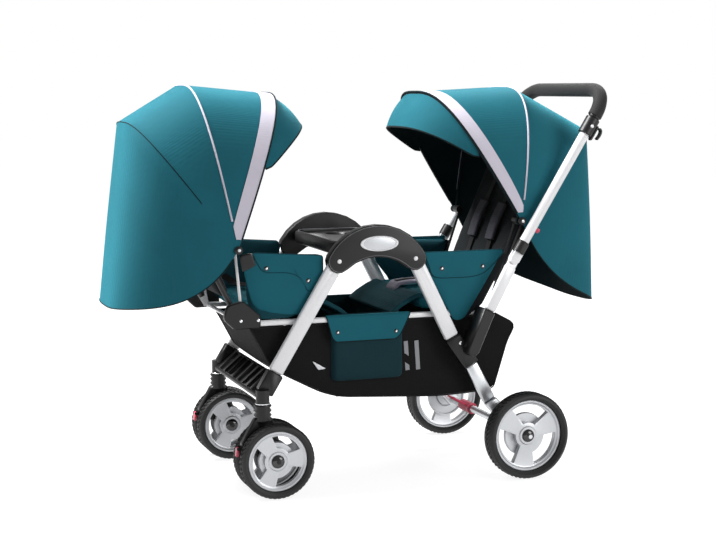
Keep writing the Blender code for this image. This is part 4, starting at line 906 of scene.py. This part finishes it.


# %% [markdown]
# Both seats are the same kind of sling: a cushion on the rails, a back on a bent tube, and at each
# side a padded wall with a skirt outside it. Over the skirt hangs a flap with a curved, piped edge
# and two snaps. The rear seat also has a black sheet that fills the gap between its skirt and push
# tube. Its black is painted shade, which stands for the shade inside the seat. The outlines are side
# views, as (x, z, corner radius) from the arches' middle. The panels lie between two depths from the
# middle plane, and the flap, the last one, is piped.

# %% The seats
SEATS = {
    "front": {
        "end": -1, "cushion": (-0.2475, 0.195), "recline": (-0.392, 0.498), "lean": -27.0,
        "wall": ((-0.340, 0.476, 0.030), (-0.215, 0.476, 0.040), (-0.150, 0.590, 0.030),
                 (-0.150, 0.646, 0.014), (-0.362, 0.654, 0.014), (-0.362, 0.530, 0.030)),
        "skirt": ((-0.372, 0.615, 0.020), (-0.346, 0.510, 0.030), (-0.300, 0.494, 0.050),
                  (-0.222, 0.483, 0.030), (-0.195, 0.505, 0.020), (-0.153, 0.575, 0.030),
                  (-0.152, 0.640, 0.006), (-0.360, 0.650, 0.006)),
        "flap": ((-0.3485, 0.658, 0.006), (-0.334, 0.628, 0.020), (-0.318, 0.603, 0.020),
                 (-0.218, 0.600, 0.060), (-0.192, 0.545, 0.010), (-0.150, 0.566, 0.012),
                 (-0.150, 0.644, 0.008)),
        "snaps": ((-0.309, 0.6145), (-0.192, 0.5765)), "painted_shade_sheet": None,
    },
    "rear": {
        "end": 1, "cushion": (0.242, 0.192), "recline": (0.372, 0.498), "lean": 23.0,
        "wall": ((0.230, 0.476, 0.020), (0.300, 0.476, 0.030), (0.384, 0.612, 0.020),
                 (0.384, 0.630, 0.008), (0.147, 0.638, 0.014), (0.147, 0.580, 0.030)),
        "skirt": ((0.165, 0.575, 0.010), (0.238, 0.445, 0.012), (0.268, 0.446, 0.020),
                  (0.305, 0.4985, 0.040), (0.368, 0.600, 0.020), (0.383, 0.632, 0.004),
                  (0.150, 0.636, 0.004)),
        "flap": ((0.146, 0.641, 0.004), (0.160, 0.605, 0.020), (0.172, 0.567, 0.030),
                 (0.318, 0.566, 0.050), (0.362, 0.604, 0.020), (0.387, 0.632, 0.006),
                 (0.3866, 0.641, 0.004)),
        "snaps": ((0.1992, 0.594), (0.3237, 0.5955)),
        # The black sheet between the rear skirt and the push tube is painted shade inside the seat.
        "painted_shade_sheet": ((0.372, 0.634, 0.004), (0.404, 0.626, 0.004), (0.325, 0.487, 0.006),
                   (0.272, 0.448, 0.006), (0.290, 0.510, 0.006), (0.345, 0.580, 0.006)),
    },
}
PANELS = (
    ("wall", 0.1835, 0.2062, inner_cloth, 8, CORNER_STEPS, 0.6),
    # The black sheet's panel: painted shade inside the rear seat.
    ("painted_shade_sheet", 0.2006, 0.2052, dark_cloth, 14, CORNER_STEPS, None),
    ("skirt", 0.1985, 0.2086, teal_cloth, 10, CORNER_STEPS, 0.3),
    ("flap", 0.2064, 0.2096, teal_cloth, 14, 8, 0.4),
)
PIPED_AT, SNAPPED_AT = 0.2085, 0.2088
CUSHION_TOP = 0.5235
CUSHION_WIDTH = 0.363
BACK_HALF = 0.182
BACK_BEND = 0.075


def make_walls(label, seat):
    """The two padded side walls, each with its skirt, flap, piping and snaps."""
    body = f"{label}_seat"
    for name, side in SIDES.items():
        for title, inner, outer, cloth, sharpness, steps, fill in PANELS:
            if seat[title]:
                outline = rounded_outline(seat[title], steps)
                panel = pillow(f"{label}_{title}_{name}", outline, side * inner, side * outer, cloth, body,
                               sharpness)
        edge = [spot(point.x, side * PIPED_AT, point.y) for point in evened(outline, 0.006)]
        wire(f"{label}_flap_piping_{name}", edge, 0.0013, inner_cloth, body, closed=True)
        for number, (x, z) in enumerate(seat["snaps"]):
            snap(label, name, number, (x, SNAPPED_AT, z), 0.0068, (0.0030, 0.0014), body)


def make_cushion(label, seat):
    """The seat cushion, quilted in three."""
    middle, length = seat["cushion"]
    seams = [(1, -0.062), (1, 0.062), (0, -seat["end"] * length * 0.28)]
    pad = stuffed(f"{label}_cushion", (length, CUSHION_WIDTH, 0.048), teal_cloth, seams)
    placed(pad, 0, spot(middle, 0, CUSHION_TOP - 0.025))
    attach(pad, f"{label}_seat")
    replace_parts(pad, f"{label}_seat")


def on_back(seat, up, out, y):
    """A place on a backrest: up its length, out from its middle plane towards the child, and across."""
    lean = math.radians(seat["lean"])
    x, z = seat["recline"]
    x += math.sin(lean) * up - seat["end"] * math.cos(lean) * out
    z += math.cos(lean) * up + seat["end"] * math.sin(lean) * out
    return spot(x, y, z)


def make_back(label, seat):
    """The quilted back and its bent tube."""
    body = f"{label}_backrest"
    seams = [(1, -0.075), (1, 0.075), (2, 0.055)]
    pad = stuffed(f"{label}_back_pad", (0.030, 0.371, 0.375), dark_cloth, seams)
    placed(pad, seat["lean"], on_back(seat, 0.2325, 0, 0))
    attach(pad, body)
    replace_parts(pad, body)
    path = [on_back(seat, -0.006, 0, -BACK_HALF), on_back(seat, 0.32, 0, -BACK_HALF)]
    for turn in (math.radians(90 * step / 8) for step in range(1, 9)):
        y = -BACK_HALF + BACK_BEND * (1 - math.cos(turn))
        path.append(on_back(seat, 0.32 + BACK_BEND * math.sin(turn), 0, y))
    path += [Vector((p.x, -p.y, p.z)) for p in reversed(path)]
    wire(f"{label}_back_tube", path, 0.0075, black_plastic, body, sides=4)


for label, seat in SEATS.items():
    make_walls(label, seat)
    make_cushion(label, seat)
    make_back(label, seat)
print("seats dressed:", list(SEATS))

# %% [markdown]
# Each child is held by a five-point harness. Two shoulder straps come through the back and run
# inside soft pads, two lap straps come from the sides, and all four clip into a buckle on the
# strap between the legs, which has a pad of its own. The straps are flat polyester webbing. A soft
# flap for the calves hangs from the cushion's front edge.

# %% The harnesses and calf pads
WEB_WIDTH, WEB_THICKNESS = 0.025, 0.0018
SHOULDER_Y = 0.062


def make_harness(label, seat):
    """Shoulder straps and pads, lap straps, the crotch strap, its pad, the calf pad and the buckle."""
    back, body, end = f"{label}_backrest", f"{label}_seat", seat["end"]

    def on_seat(x, ahead, y, rise):
        return spot(x + end * ahead, y, CUSHION_TOP + rise)

    x = seat["cushion"][0] + end * 0.060
    for name, side in SIDES.items():
        y = side * SHOULDER_Y
        run = [on_back(seat, up, 0.0185 + 0.006 * math.sin(math.pi * (up - 0.10) / 0.25), y)
               for up in (0.36, 0.32, 0.28, 0.22, 0.16, 0.10)]
        strap(f"{label}_shoulder_strap_{name}", run, WEB_WIDTH, WEB_THICKNESS, webbing, back)
        run = [on_back(seat, 0.272 - 0.112 * i / 8, 0.026 + 0.004 * math.sin(math.pi * i / 8), y)
               for i in range(9)]
        pad = strap(f"{label}_shoulder_pad_{name}", run, 0.048, 0.011, grey_cloth, back)
        places = ((0.02, 0.176, 0.030), (0, 0.130, 0.012), (-0.03, 0.060, 0.011), (-0.055, 0.012, 0.014))
        lap = [on_seat(x, ahead, side * out, rise) for ahead, out, rise in places]
        strap(f"{label}_lap_strap_{name}", lap, WEB_WIDTH, WEB_THICKNESS, webbing, body, (1, 0, 0.25))
    x = seat["cushion"][0] - end * 0.010
    places = ((-0.108, -0.024), (-0.103, -0.006), (-0.090, 0.008), (-0.060, 0.012), (-0.020, 0.013),
              (0.015, 0.014))
    crotch = [on_seat(x, ahead, 0, rise) for ahead, rise in places]
    pad = strap(f"{label}_crotch_pad", crotch, 0.066, 0.010, lilac_cloth, body)
    raised = [p + Vector((0, 0, 0.0062)) for p in crotch[2:]]
    strap(f"{label}_crotch_strap", raised, WEB_WIDTH, 0.0020, webbing, body)
    front_edge = seat["cushion"][0] - end * seat["cushion"][1] / 2
    places = ((0.012, -0.012), (0, -0.006), (-0.025, -0.016), (-0.060, -0.036), (-0.085, -0.056))
    rest = [on_seat(front_edge, ahead, 0, rise) for ahead, rise in places]
    calf_pad = strap(f"{label}_calf_pad", rest, 0.350, 0.012, inner_cloth, body)
    buckle = rounded(block(f"{label}_buckle", (0.042, 0.046, 0.014)), 0.005, 3)
    placed(buckle, 0, on_seat(x, 0.035, 0, 0.020))
    dress(buckle, black_plastic, body)
    button(f"{label}_buckle_button", on_seat(x, 0.035, 0, 0.0268), 0.0075, 0.003, pink_plastic, body,
           (0, 0, 1))


for label, seat in SEATS.items():
    make_harness(label, seat)

# %% [markdown]
# Between the seats hangs a footwell: a soft tub of dark mesh cloth. Its walls stop under the seat
# rails on the outside and run up between them on the inside. A teal flap folds over each rail and
# closes with two snaps.

# %% The footwell and its flaps
CORNER = 0.020
TUB_FRONT, TUB_REAR = -0.122, 0.090
TUB = (
    (0.014, 0.190, 0.292), (0.005, 0.199, 0.2945), (0.001, 0.2035, 0.301), (0.000, 0.2044, 0.320),
    (0.001, 0.2042, 0.360), (0.001, 0.2042, 0.400), (0.001, 0.2042, 0.443), (0.003, 0.202, 0.4458),
    (0.004, 0.1868, 0.4465), (0.004, 0.1864, 0.460), (0.004, 0.1862, 0.475), (0.006, 0.1850, 0.4775),
    (0.008, 0.1832, 0.475), (0.007, 0.1830, 0.400), (0.007, 0.1826, 0.310), (0.012, 0.180, 0.300),
)
RAIL_TOP, FLAP_DROP, FLAP_LOWEST = 0.477, 0.073, 0.4015


def tub_ring(inset, half, z):
    """A ring round the footwell at one height, with rounded corners."""
    front, rear = TUB_FRONT + inset, TUB_REAR - inset
    ring = []
    for place, (x, y) in enumerate(((rear, half), (front, half), (front, -half), (rear, -half))):
        middle_x = x + CORNER * (-1 if x == rear else 1)
        middle_y = y + CORNER * (-1 if y > 0 else 1)
        for step in range(CORNER_STEPS + 1):
            turn = math.radians(90 * place + 90 * step / CORNER_STEPS)
            ring.append(spot(middle_x + CORNER * math.cos(turn), middle_y + CORNER * math.sin(turn), z))
    return ring


def make_flap(name, side):
    """A flap from inside the rail, over it and down the tub's side, with rounded lower corners."""
    over = [(0.1855, 0.4560), (0.1858, 0.4650)]
    for turn in (math.radians(180 - 180 * step / 7) for step in range(1, 8)):
        over.append((0.1962 + 0.0100 * math.cos(turn), 0.4668 + 0.0095 * math.sin(turn)))
    over += [(0.2072, 0.4550), (0.2074, 0.4400), (0.2074, 0.4250), (0.2073, 0.4150), (0.2071, 0.4080),
             (0.2069, 0.4035)]
    rows = []
    for y, z in over:
        down = max(CORNER - (z - FLAP_LOWEST), 0.0)
        corner = CORNER - math.sqrt(max(CORNER**2 - down**2, 0.0))
        hang = max(RAIL_TOP - z, 0)
        front = -0.140 + 0.0200 * hang / FLAP_DROP + corner
        rear = 0.108 - 0.036 * hang / FLAP_DROP - corner
        rows.append([spot(front + (rear - front) * i / 36, side * y, z) for i in range(37)])
    flap = cloth_sheet(f"footwell_flap_{name}", rows, spot(-0.02, side * 0.196, 0.44))
    lined(flap, 0.0016, teal_cloth, lining_cloth, "frame")
    edge = [row[0] for row in rows[4:]] + rows[-1][1:-1] + [row[-1] for row in reversed(rows[4:])]
    edge = [p + Vector((0, side * 0.0003, 0)) for p in edge]
    wire(f"footwell_flap_binding_{name}", edge, 0.0013, lining_cloth, "frame")
    for number, (x, z) in enumerate(((-0.107, 0.4300), (0.064, 0.4250))):
        snap("footwell", name, number, (x, 0.2070, z), 0.0062, (0.0028, 0.0013), "frame")


tub = loft("footwell_tub", [tub_ring(*ring) for ring in TUB], pouch_cloth, "frame", 60)
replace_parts(tub, "footwell")
for name, side in SIDES.items():
    make_flap(name, side)
print("footwell rings:", len(TUB))

# %% [markdown]
# The basket is black nylon that hangs from the rails like a hammock. Its side view is the line of
# the floor under the straight line of the rails. Between its bound edges the cloth sags: the sides
# bulge out a little and the floor dips. Tape covers the seams, and two grey reflective tabs and a
# small reflective triangle are sewn on each side. The bag and its seams each get a mesh of their own.

# %% The basket
BASKET_LINE = (
    (-0.3505, 0.4520), (-0.294, 0.346), (-0.2546, 0.316), (-0.118, 0.2454), (0.204, 0.2255),
    (0.355, 0.2330), (0.372, 0.2400), (0.4126, 0.3717), (0.4385, 0.4189), (0.375, 0.4525),
)
BASKET_HALF = 0.1862
BASKET_TOP, BASKET_FRONT, BASKET_REAR = 0.4525, -0.3505, 0.375
SIDE_ROWS, FLOOR_COLUMNS = 14, 21


def basket_line():
    """The floor's side view as a smooth line from the front rail to the rear one."""
    line = [Vector(point) for point in BASKET_LINE]
    soft = [line[0]]
    for before, corner, after in zip(line, line[1:], line[2:]):
        reach = min((before - corner).length, (after - corner).length) * 0.35
        first = corner + (before - corner).normalized() * reach
        last = corner + (after - corner).normalized() * reach
        for share in (step / 6 for step in range(7)):
            soft.append(first.lerp(corner, share).lerp(corner.lerp(last, share), share))
    return evened(soft + [line[-1]], 0.011, False)


def basket_row(low, share):
    """One row of the bag: down a side, across the floor and up the other side."""
    top = Vector((BASKET_FRONT + (BASKET_REAR - BASKET_FRONT) * share, BASKET_TOP))
    fullness = math.sin(math.pi * share)
    ripple = 0.0035 * fullness - 0.0015 * math.sin(share * 31)
    row = []
    for step in range(SIDE_ROWS):
        point = top.lerp(low, step / SIDE_ROWS)
        row.append((point.x, -BASKET_HALF - ripple * math.sin(math.pi * step / SIDE_ROWS), point.y))
    far_side = [(x, -y, z) for x, y, z in reversed(row)]
    for step in range(FLOOR_COLUMNS):
        across = -1 + 2 * step / (FLOOR_COLUMNS - 1)
        dip = 0.007 * fullness * (1 - across**2)
        edge_round = 0.006 * max(abs(across) - 0.93, 0) / 0.07
        row.append((low.x, across * BASKET_HALF, low.y - dip + edge_round))
    return [spot(*place) for place in row + far_side]


floor_line = basket_line()
rows = [basket_row(low, place / (len(floor_line) - 1)) for place, low in enumerate(floor_line)]
bag = cloth_sheet("basket_bag", rows, spot(0.03, 0, 0.42))
lined(bag, 0.0016, basket_cloth, basket_cloth, "frame")
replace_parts(bag, "basket")
folding = [bag]
for name, side in SIDES.items():
    edge = [spot(p.x, side * BASKET_HALF, p.y + 0.003) for p in floor_line]
    folding.append(wire(f"basket_seam_{name}", edge, 0.0018, webbing, "frame"))
    top = [spot(-0.350 + 0.725 * i / 60, side * (BASKET_HALF - 0.001), 0.4520) for i in range(61)]
    folding.append(wire(f"basket_top_binding_{name}", top, 0.0024, webbing, "frame"))
    for number, x in enumerate((0.118, 0.150)):
        y = side * (BASKET_HALF + 0.0042)
        tab = [spot(x - 0.019 + 0.0012 * i, y, 0.392 - 0.0165 * i) for i in range(6)]
        strap(f"basket_tab_{name}_{number}", tab, 0.0125, 0.0012, band_grey, "frame", (1, 0, 0.1))
    corners = ((-0.176, 0.353, 0.002), (-0.134, 0.328, 0.002), (-0.158, 0.326, 0.002))
    pillow(f"basket_triangle_{name}", rounded_outline(corners), side * 0.1872, side * 0.1902, silver_plastic,
           "frame")
for piece in folding:
    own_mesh(piece)
print("basket rows:", len(rows))

# %% [markdown]
# The arches are the stroller's two big black shells. Each keeps its imported shape with softened
# edges, and gets the raised line that runs a few millimetres inside its rim, a screw at each leg
# pivot and the bright oval plate in the middle. The tray between them gets a grey line round its
# rim, which is a painted highlight along the tray's edge.

# %% The arches, their oval plates and the painted highlight round the tray's rim
PIVOT_X, PIVOT_Z, LOBE = 0.111, 0.628, 0.033
CREST, HOLLOW = 0.7245, 0.636
ARCH_OUTER = 0.2334
BEZEL = [(1.0, -0.001), (1.0, 0.0020), (0.96, 0.0034), (0.90, 0.0034), (0.86, 0.0020), (0.86, -0.001)]
PLATE = [(0, -0.001), (0.88, -0.001), (0.88, 0.0012), (0.60, 0.0026), (0.30, 0.0032), (0, 0.0034)]
TRAY_HALF_X, TRAY_HALF_Y, TRAY_RIM = 0.1045, 0.1985, 0.6757


def arc_through(middle_z, radius):
    """The height of the centre and the radius of an arc over the middle that meets both pivots' lobes."""
    reach = middle_z - radius
    height = (reach**2 - PIVOT_X**2 - PIVOT_Z**2) / (2 * (reach - PIVOT_Z))
    return height, middle_z - height


def arch_rim(distance):
    """The arch's outline in x and z, moved inwards by distance."""
    found = []
    top, top_r = arc_through(CREST, LOBE)
    low, low_r = arc_through(HOLLOW, -LOBE)
    over = math.degrees(math.atan2(PIVOT_Z - top, PIVOT_X))
    under = math.degrees(math.atan2(PIVOT_Z - low, PIVOT_X))
    for centre, radius, start, end in (
        ((PIVOT_X, PIVOT_Z), LOBE - distance, under - 180, over),
        ((0, top), top_r - distance, over, 180 - over),
        ((-PIVOT_X, PIVOT_Z), LOBE - distance, 180 - over, 360 - under),
        ((0, low), low_r + distance, 180 - under, under),
    ):
        for step in range(24):
            turn = math.radians(start + (end - start) * step / 24)
            found.append(Vector((centre[0] + radius * math.cos(turn), centre[1] + radius * math.sin(turn))))
    return found


def make_arch(name, side):
    """One arch with its rim line, screws and oval plate."""
    surfaced(f"arch_cover_{name}", black_plastic, 30, 0.0012)
    outer = side * ARCH_OUTER
    line = [spot(p.x, outer, p.y) for p in arch_rim(0.0042)]
    wire(f"arch_rim_{name}", line, 0.0010, grey_plastic_and_painted_highlight, "frame", closed=True, sides=2)
    for number, x in enumerate((-PIVOT_X, PIVOT_X)):
        button(f"arch_screw_{name}_{number}", spot(x, outer, PIVOT_Z), 0.0062, 0.0028, white_enamel, "frame",
               (0, side, 0))
    oval = Matrix.Translation(spot(0.004, outer, 0.673)) @ Matrix.Diagonal((0.055, 1, 0.021, 1))
    for title, material, profile in (("bezel", white_enamel, BEZEL), ("plate", silver_plastic, PLATE)):
        piece = lathe(f"arch_{title}_{name}", profile, (0, 0, 0), (0, side, 0), 64)
        piece.data.transform(oval)
        dress(piece, material, "frame", 30)


def squared(value, power, half):
    """A circle's coordinate drawn out towards the corners of a rounded rectangle."""
    return math.copysign(abs(value) ** power, value) * half


for name, side in SIDES.items():
    make_arch(name, side)
# The grey line round the tray's rim is a painted highlight along the tray's edge.
tray_highlight_line = []
for turn in (math.radians(360 * step / 96) for step in range(96)):
    x, y = squared(math.cos(turn), 0.35, TRAY_HALF_X), squared(math.sin(turn), 0.22, TRAY_HALF_Y)
    tray_highlight_line.append(spot(x, y, TRAY_RIM))
wire("tray_rim_painted_highlight", tray_highlight_line, 0.0022, grey_plastic_and_painted_highlight, "tray", closed=True, sides=2)
print("points on an arch's rim:", len(arch_rim(0)))

# %% [markdown]
# The grip is a closed foam sleeve pushed over the bent bar, about as thick as the clamps it ends
# at. Below it, each tube passes through a black clamp with a hooked lever and a pale rivet.

# %% The handle's grip, clamps and sleeves
HANDLE_LEAN = math.radians(31.7)
HANDLE_UP = Vector((math.sin(HANDLE_LEAN), 0, math.cos(HANDLE_LEAN)))
HANDLE_AWAY = Vector((math.cos(HANDLE_LEAN), 0, -math.sin(HANDLE_LEAN)))
PUSH_Y = 0.2635
GRIP_FROM, GRIP_TOP = 0.467, 0.553
HOOK = ((0.442, 0.0290), (0.445, 0.0350), (0.440, 0.0405), (0.428, 0.0425), (0.414, 0.0400))


def on_handle(distance, y, away=0.0):
    """A place along the leaning handle, measured from its hinge."""
    return spot(0.394, y, 0.617) + HANDLE_UP * distance + HANDLE_AWAY * away


def grip_path():
    """The bent bar's line between the ends of the grip on its arms."""
    path = [on_handle(GRIP_FROM, -PUSH_Y)]
    for turn in (math.radians(90 * step / 16) for step in range(17)):
        up, in_from_side = GRIP_TOP - 0.082 * (1 - math.sin(turn)), 0.100 * (1 - math.cos(turn))
        path.append(on_handle(up, -PUSH_Y + in_from_side))
    path += [Vector((p.x, -p.y, p.z)) for p in reversed(path)]
    return evened(path, 0.010, False)


grip_line = grip_path()
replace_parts(wire("grip_sleeve", grip_line, 0.0200, grip_foam, "handle_top", sides=7), "handle_grip")
for name, side in SIDES.items():
    y, body = side * PUSH_Y, "handle_tubes"
    for title, low, high, radius in (("clamp", 0.408, 0.4605, 0.0205), ("sleeve", 0.022, 0.058, 0.0172)):
        profile = [(0.0145, 0), (radius - 0.002, 0), (radius, 0.002), (radius, high - low - 0.003),
                   (radius - 0.003, high - low), (0.0145, high - low)]
        dress(lathe(f"handle_{title}_{name}", profile, on_handle(low, y), HANDLE_UP, 40), black_plastic, body)
    profile = [(0.0132, 0), (0.0160, 0), (0.0165, 0.002), (0.0165, 0.008), (0.0132, 0.010)]
    dress(lathe(f"bar_collar_{name}", profile, on_handle(0.4615, y), HANDLE_UP, 40), black_plastic, body)
    button(f"clamp_rivet_{name}", on_handle(0.434, y + side * 0.0200), 0.0048, 0.0024, white_enamel, body,
           (0, side, 0))
    hook = [on_handle(distance, y, away) for distance, away in HOOK]
    smooth = [hook[0]]
    for a, b in zip(hook, hook[1:]):
        smooth += [a.lerp(b, share / 4) for share in range(1, 5)]
    strap(f"clamp_hook_{name}", smooth, 0.015, 0.0062, black_plastic, f"clamp_lever_{name}")
print("grip length:", round(sum((b - a).length for a, b in zip(grip_line, grip_line[1:])), 3), "m")

# %% [markdown]
# The last small parts are the ones that hold the frame together: rivets at the joints, steel collars
# over the rubber bellows, the hinge plates of the rear legs and the caps on the canopy pivots.

# %% Rivets, collars and hinge plates
RIVETS = (
    ("joint_rivet", "rear_legs", 0.248, 0.385, ARCH_OUTER, 0.0058),
    ("plate_rivet_low", "rear_legs", 0.302, 0.4324, ARCH_OUTER, 0.0040),
    ("plate_rivet_high", "rear_legs", 0.3196, 0.4337, ARCH_OUTER, 0.0040),
    ("bracket_rivet_low", "front_seat", -0.385, 0.479, 0.2258, 0.0046),
    ("bracket_rivet_high", "front_seat", -0.337, 0.4785, 0.2258, 0.0046),
)
JOINT_PLATE = [(0, -0.002), (0.0225, -0.002), (0.0225, 0.0018), (0.0205, 0.0030), (0.0160, 0.0030),
               (0.0150, 0.0018), (0, 0.0018)]
SWIVEL_COLLAR = [(0.0150, 0), (0.0195, 0), (0.0203, 0.0010), (0.0203, 0.0036), (0.0195, 0.0044),
                 (0.0150, 0.0044)]
PIVOT_CAP = [(0, 0), (0.011, 0), (0.011, 0.0055), (0.008, 0.0085), (0, 0.0095)]
CANOPY_CLAMP = ((-0.392, 0.655, 0.004), (-0.357, 0.662, 0.004), (-0.346, 0.627, 0.004),
                (-0.383, 0.610, 0.004))
for name, side in SIDES.items():
    axis = (0, side, 0)
    for title, body, x, z, depth, radius in RIVETS:
        button(f"{title}_{name}", spot(x, side * depth, z), radius, 0.0022, chrome_plate, body, axis)
    plate = lathe(f"joint_plate_{name}", JOINT_PLATE, spot(0.300, side * 0.2330, 0.412), axis, 48)
    dress(plate, grey_plastic_and_painted_highlight, "rear_legs")
    collar = lathe(f"swivel_collar_{name}", SWIVEL_COLLAR, spot(-0.330, side * 0.2356, 0.2520), (0, 0, 1), 48)
    dress(collar, chrome_plate, f"caster_{name}")
    for label, canopy in CANOPIES.items():
        pivot, body = canopy["pivot"], f"{label}_seat"
        cap = lathe(f"{label}_pivot_cap_{name}", PIVOT_CAP, (pivot.x, side * 0.2365, pivot.z), axis, 40)
        dress(cap, black_plastic, body)
        button(f"{label}_pivot_ball_{name}", (pivot.x, side * 0.2455, pivot.z), 0.0042, 0.003, white_enamel,
               body, axis)
    pillow(f"front_canopy_clamp_{name}", rounded_outline(CANOPY_CLAMP), side * 0.2325, side * 0.2425,
           black_plastic, "front_seat", 20)

# %% [markdown]
# The stroller stands on a plain white floor in soft studio light: a large lamp high on the left,
# weaker ones on the right and behind, and a pale world that fills the shade. The camera sees pure
# white behind.

# %% The stage and the light
FLOOR_GLOW = 0.86
WORLD_LIGHT = 0.42
AIMED_AT = Vector((0, 0, 0.55))
bpy.ops.mesh.primitive_plane_add(size=60, location=(0, 0, -0.0005))
floor = bpy.context.object
floor.name = "floor"
paint = start_material("white_studio_floor", "#8f8f8f", 0.9, Emission_Color=(1, 1, 1, 1))
rays = add(paint, "ShaderNodeLightPath").outputs
seen = add(paint, "ShaderNodeMath", links={0: rays["Is Camera Ray"], 1: rays["Is Glossy Ray"]},
           operation="MAXIMUM")
glow = add(paint, "ShaderNodeMath", {1: FLOOR_GLOW}, {0: seen.outputs[0]}, operation="MULTIPLY")
connect(paint, glow.outputs[0], "Emission Strength")
floor.data.materials.append(paint)

world = bpy.data.worlds.new("studio")
bpy.context.scene.world = world
world.use_nodes = True
sky = world.node_tree.nodes["Background"].inputs
sky["Color"].default_value = (1, 1, 1, 1)
rays = add(world, "ShaderNodeLightPath").outputs
seen = add(world, "ShaderNodeMath", links={0: rays["Is Camera Ray"], 1: rays["Is Transmission Ray"]},
           operation="MAXIMUM")
level = add(world, "ShaderNodeMapRange", {"To Min": WORLD_LIGHT, "To Max": 1.0}, {"Value": seen.outputs[0]})
world.node_tree.links.new(level.outputs["Result"], sky["Strength"])
for name, place, size, power in (
    ("key_lamp", (-2.6, 0.8, 4.4), 1.6, 520),
    ("fill_lamp", (3.0, -4.0, 1.9), 2.8, 120),
    ("back_lamp", (2.2, 3.0, 3.8), 2.6, 140),
):
    data = bpy.data.lights.new(name, "AREA")
    data.shape = "DISK"
    data.size = size
    data.energy = power
    lamp = put(name, data)
    lamp.location = place
    lamp.rotation_euler = (AIMED_AT - Vector(place)).to_track_quat("-Z", "Y").to_euler()
bpy.context.scene.view_settings.view_transform = "Standard"
print("lamps:", len(bpy.data.lights))
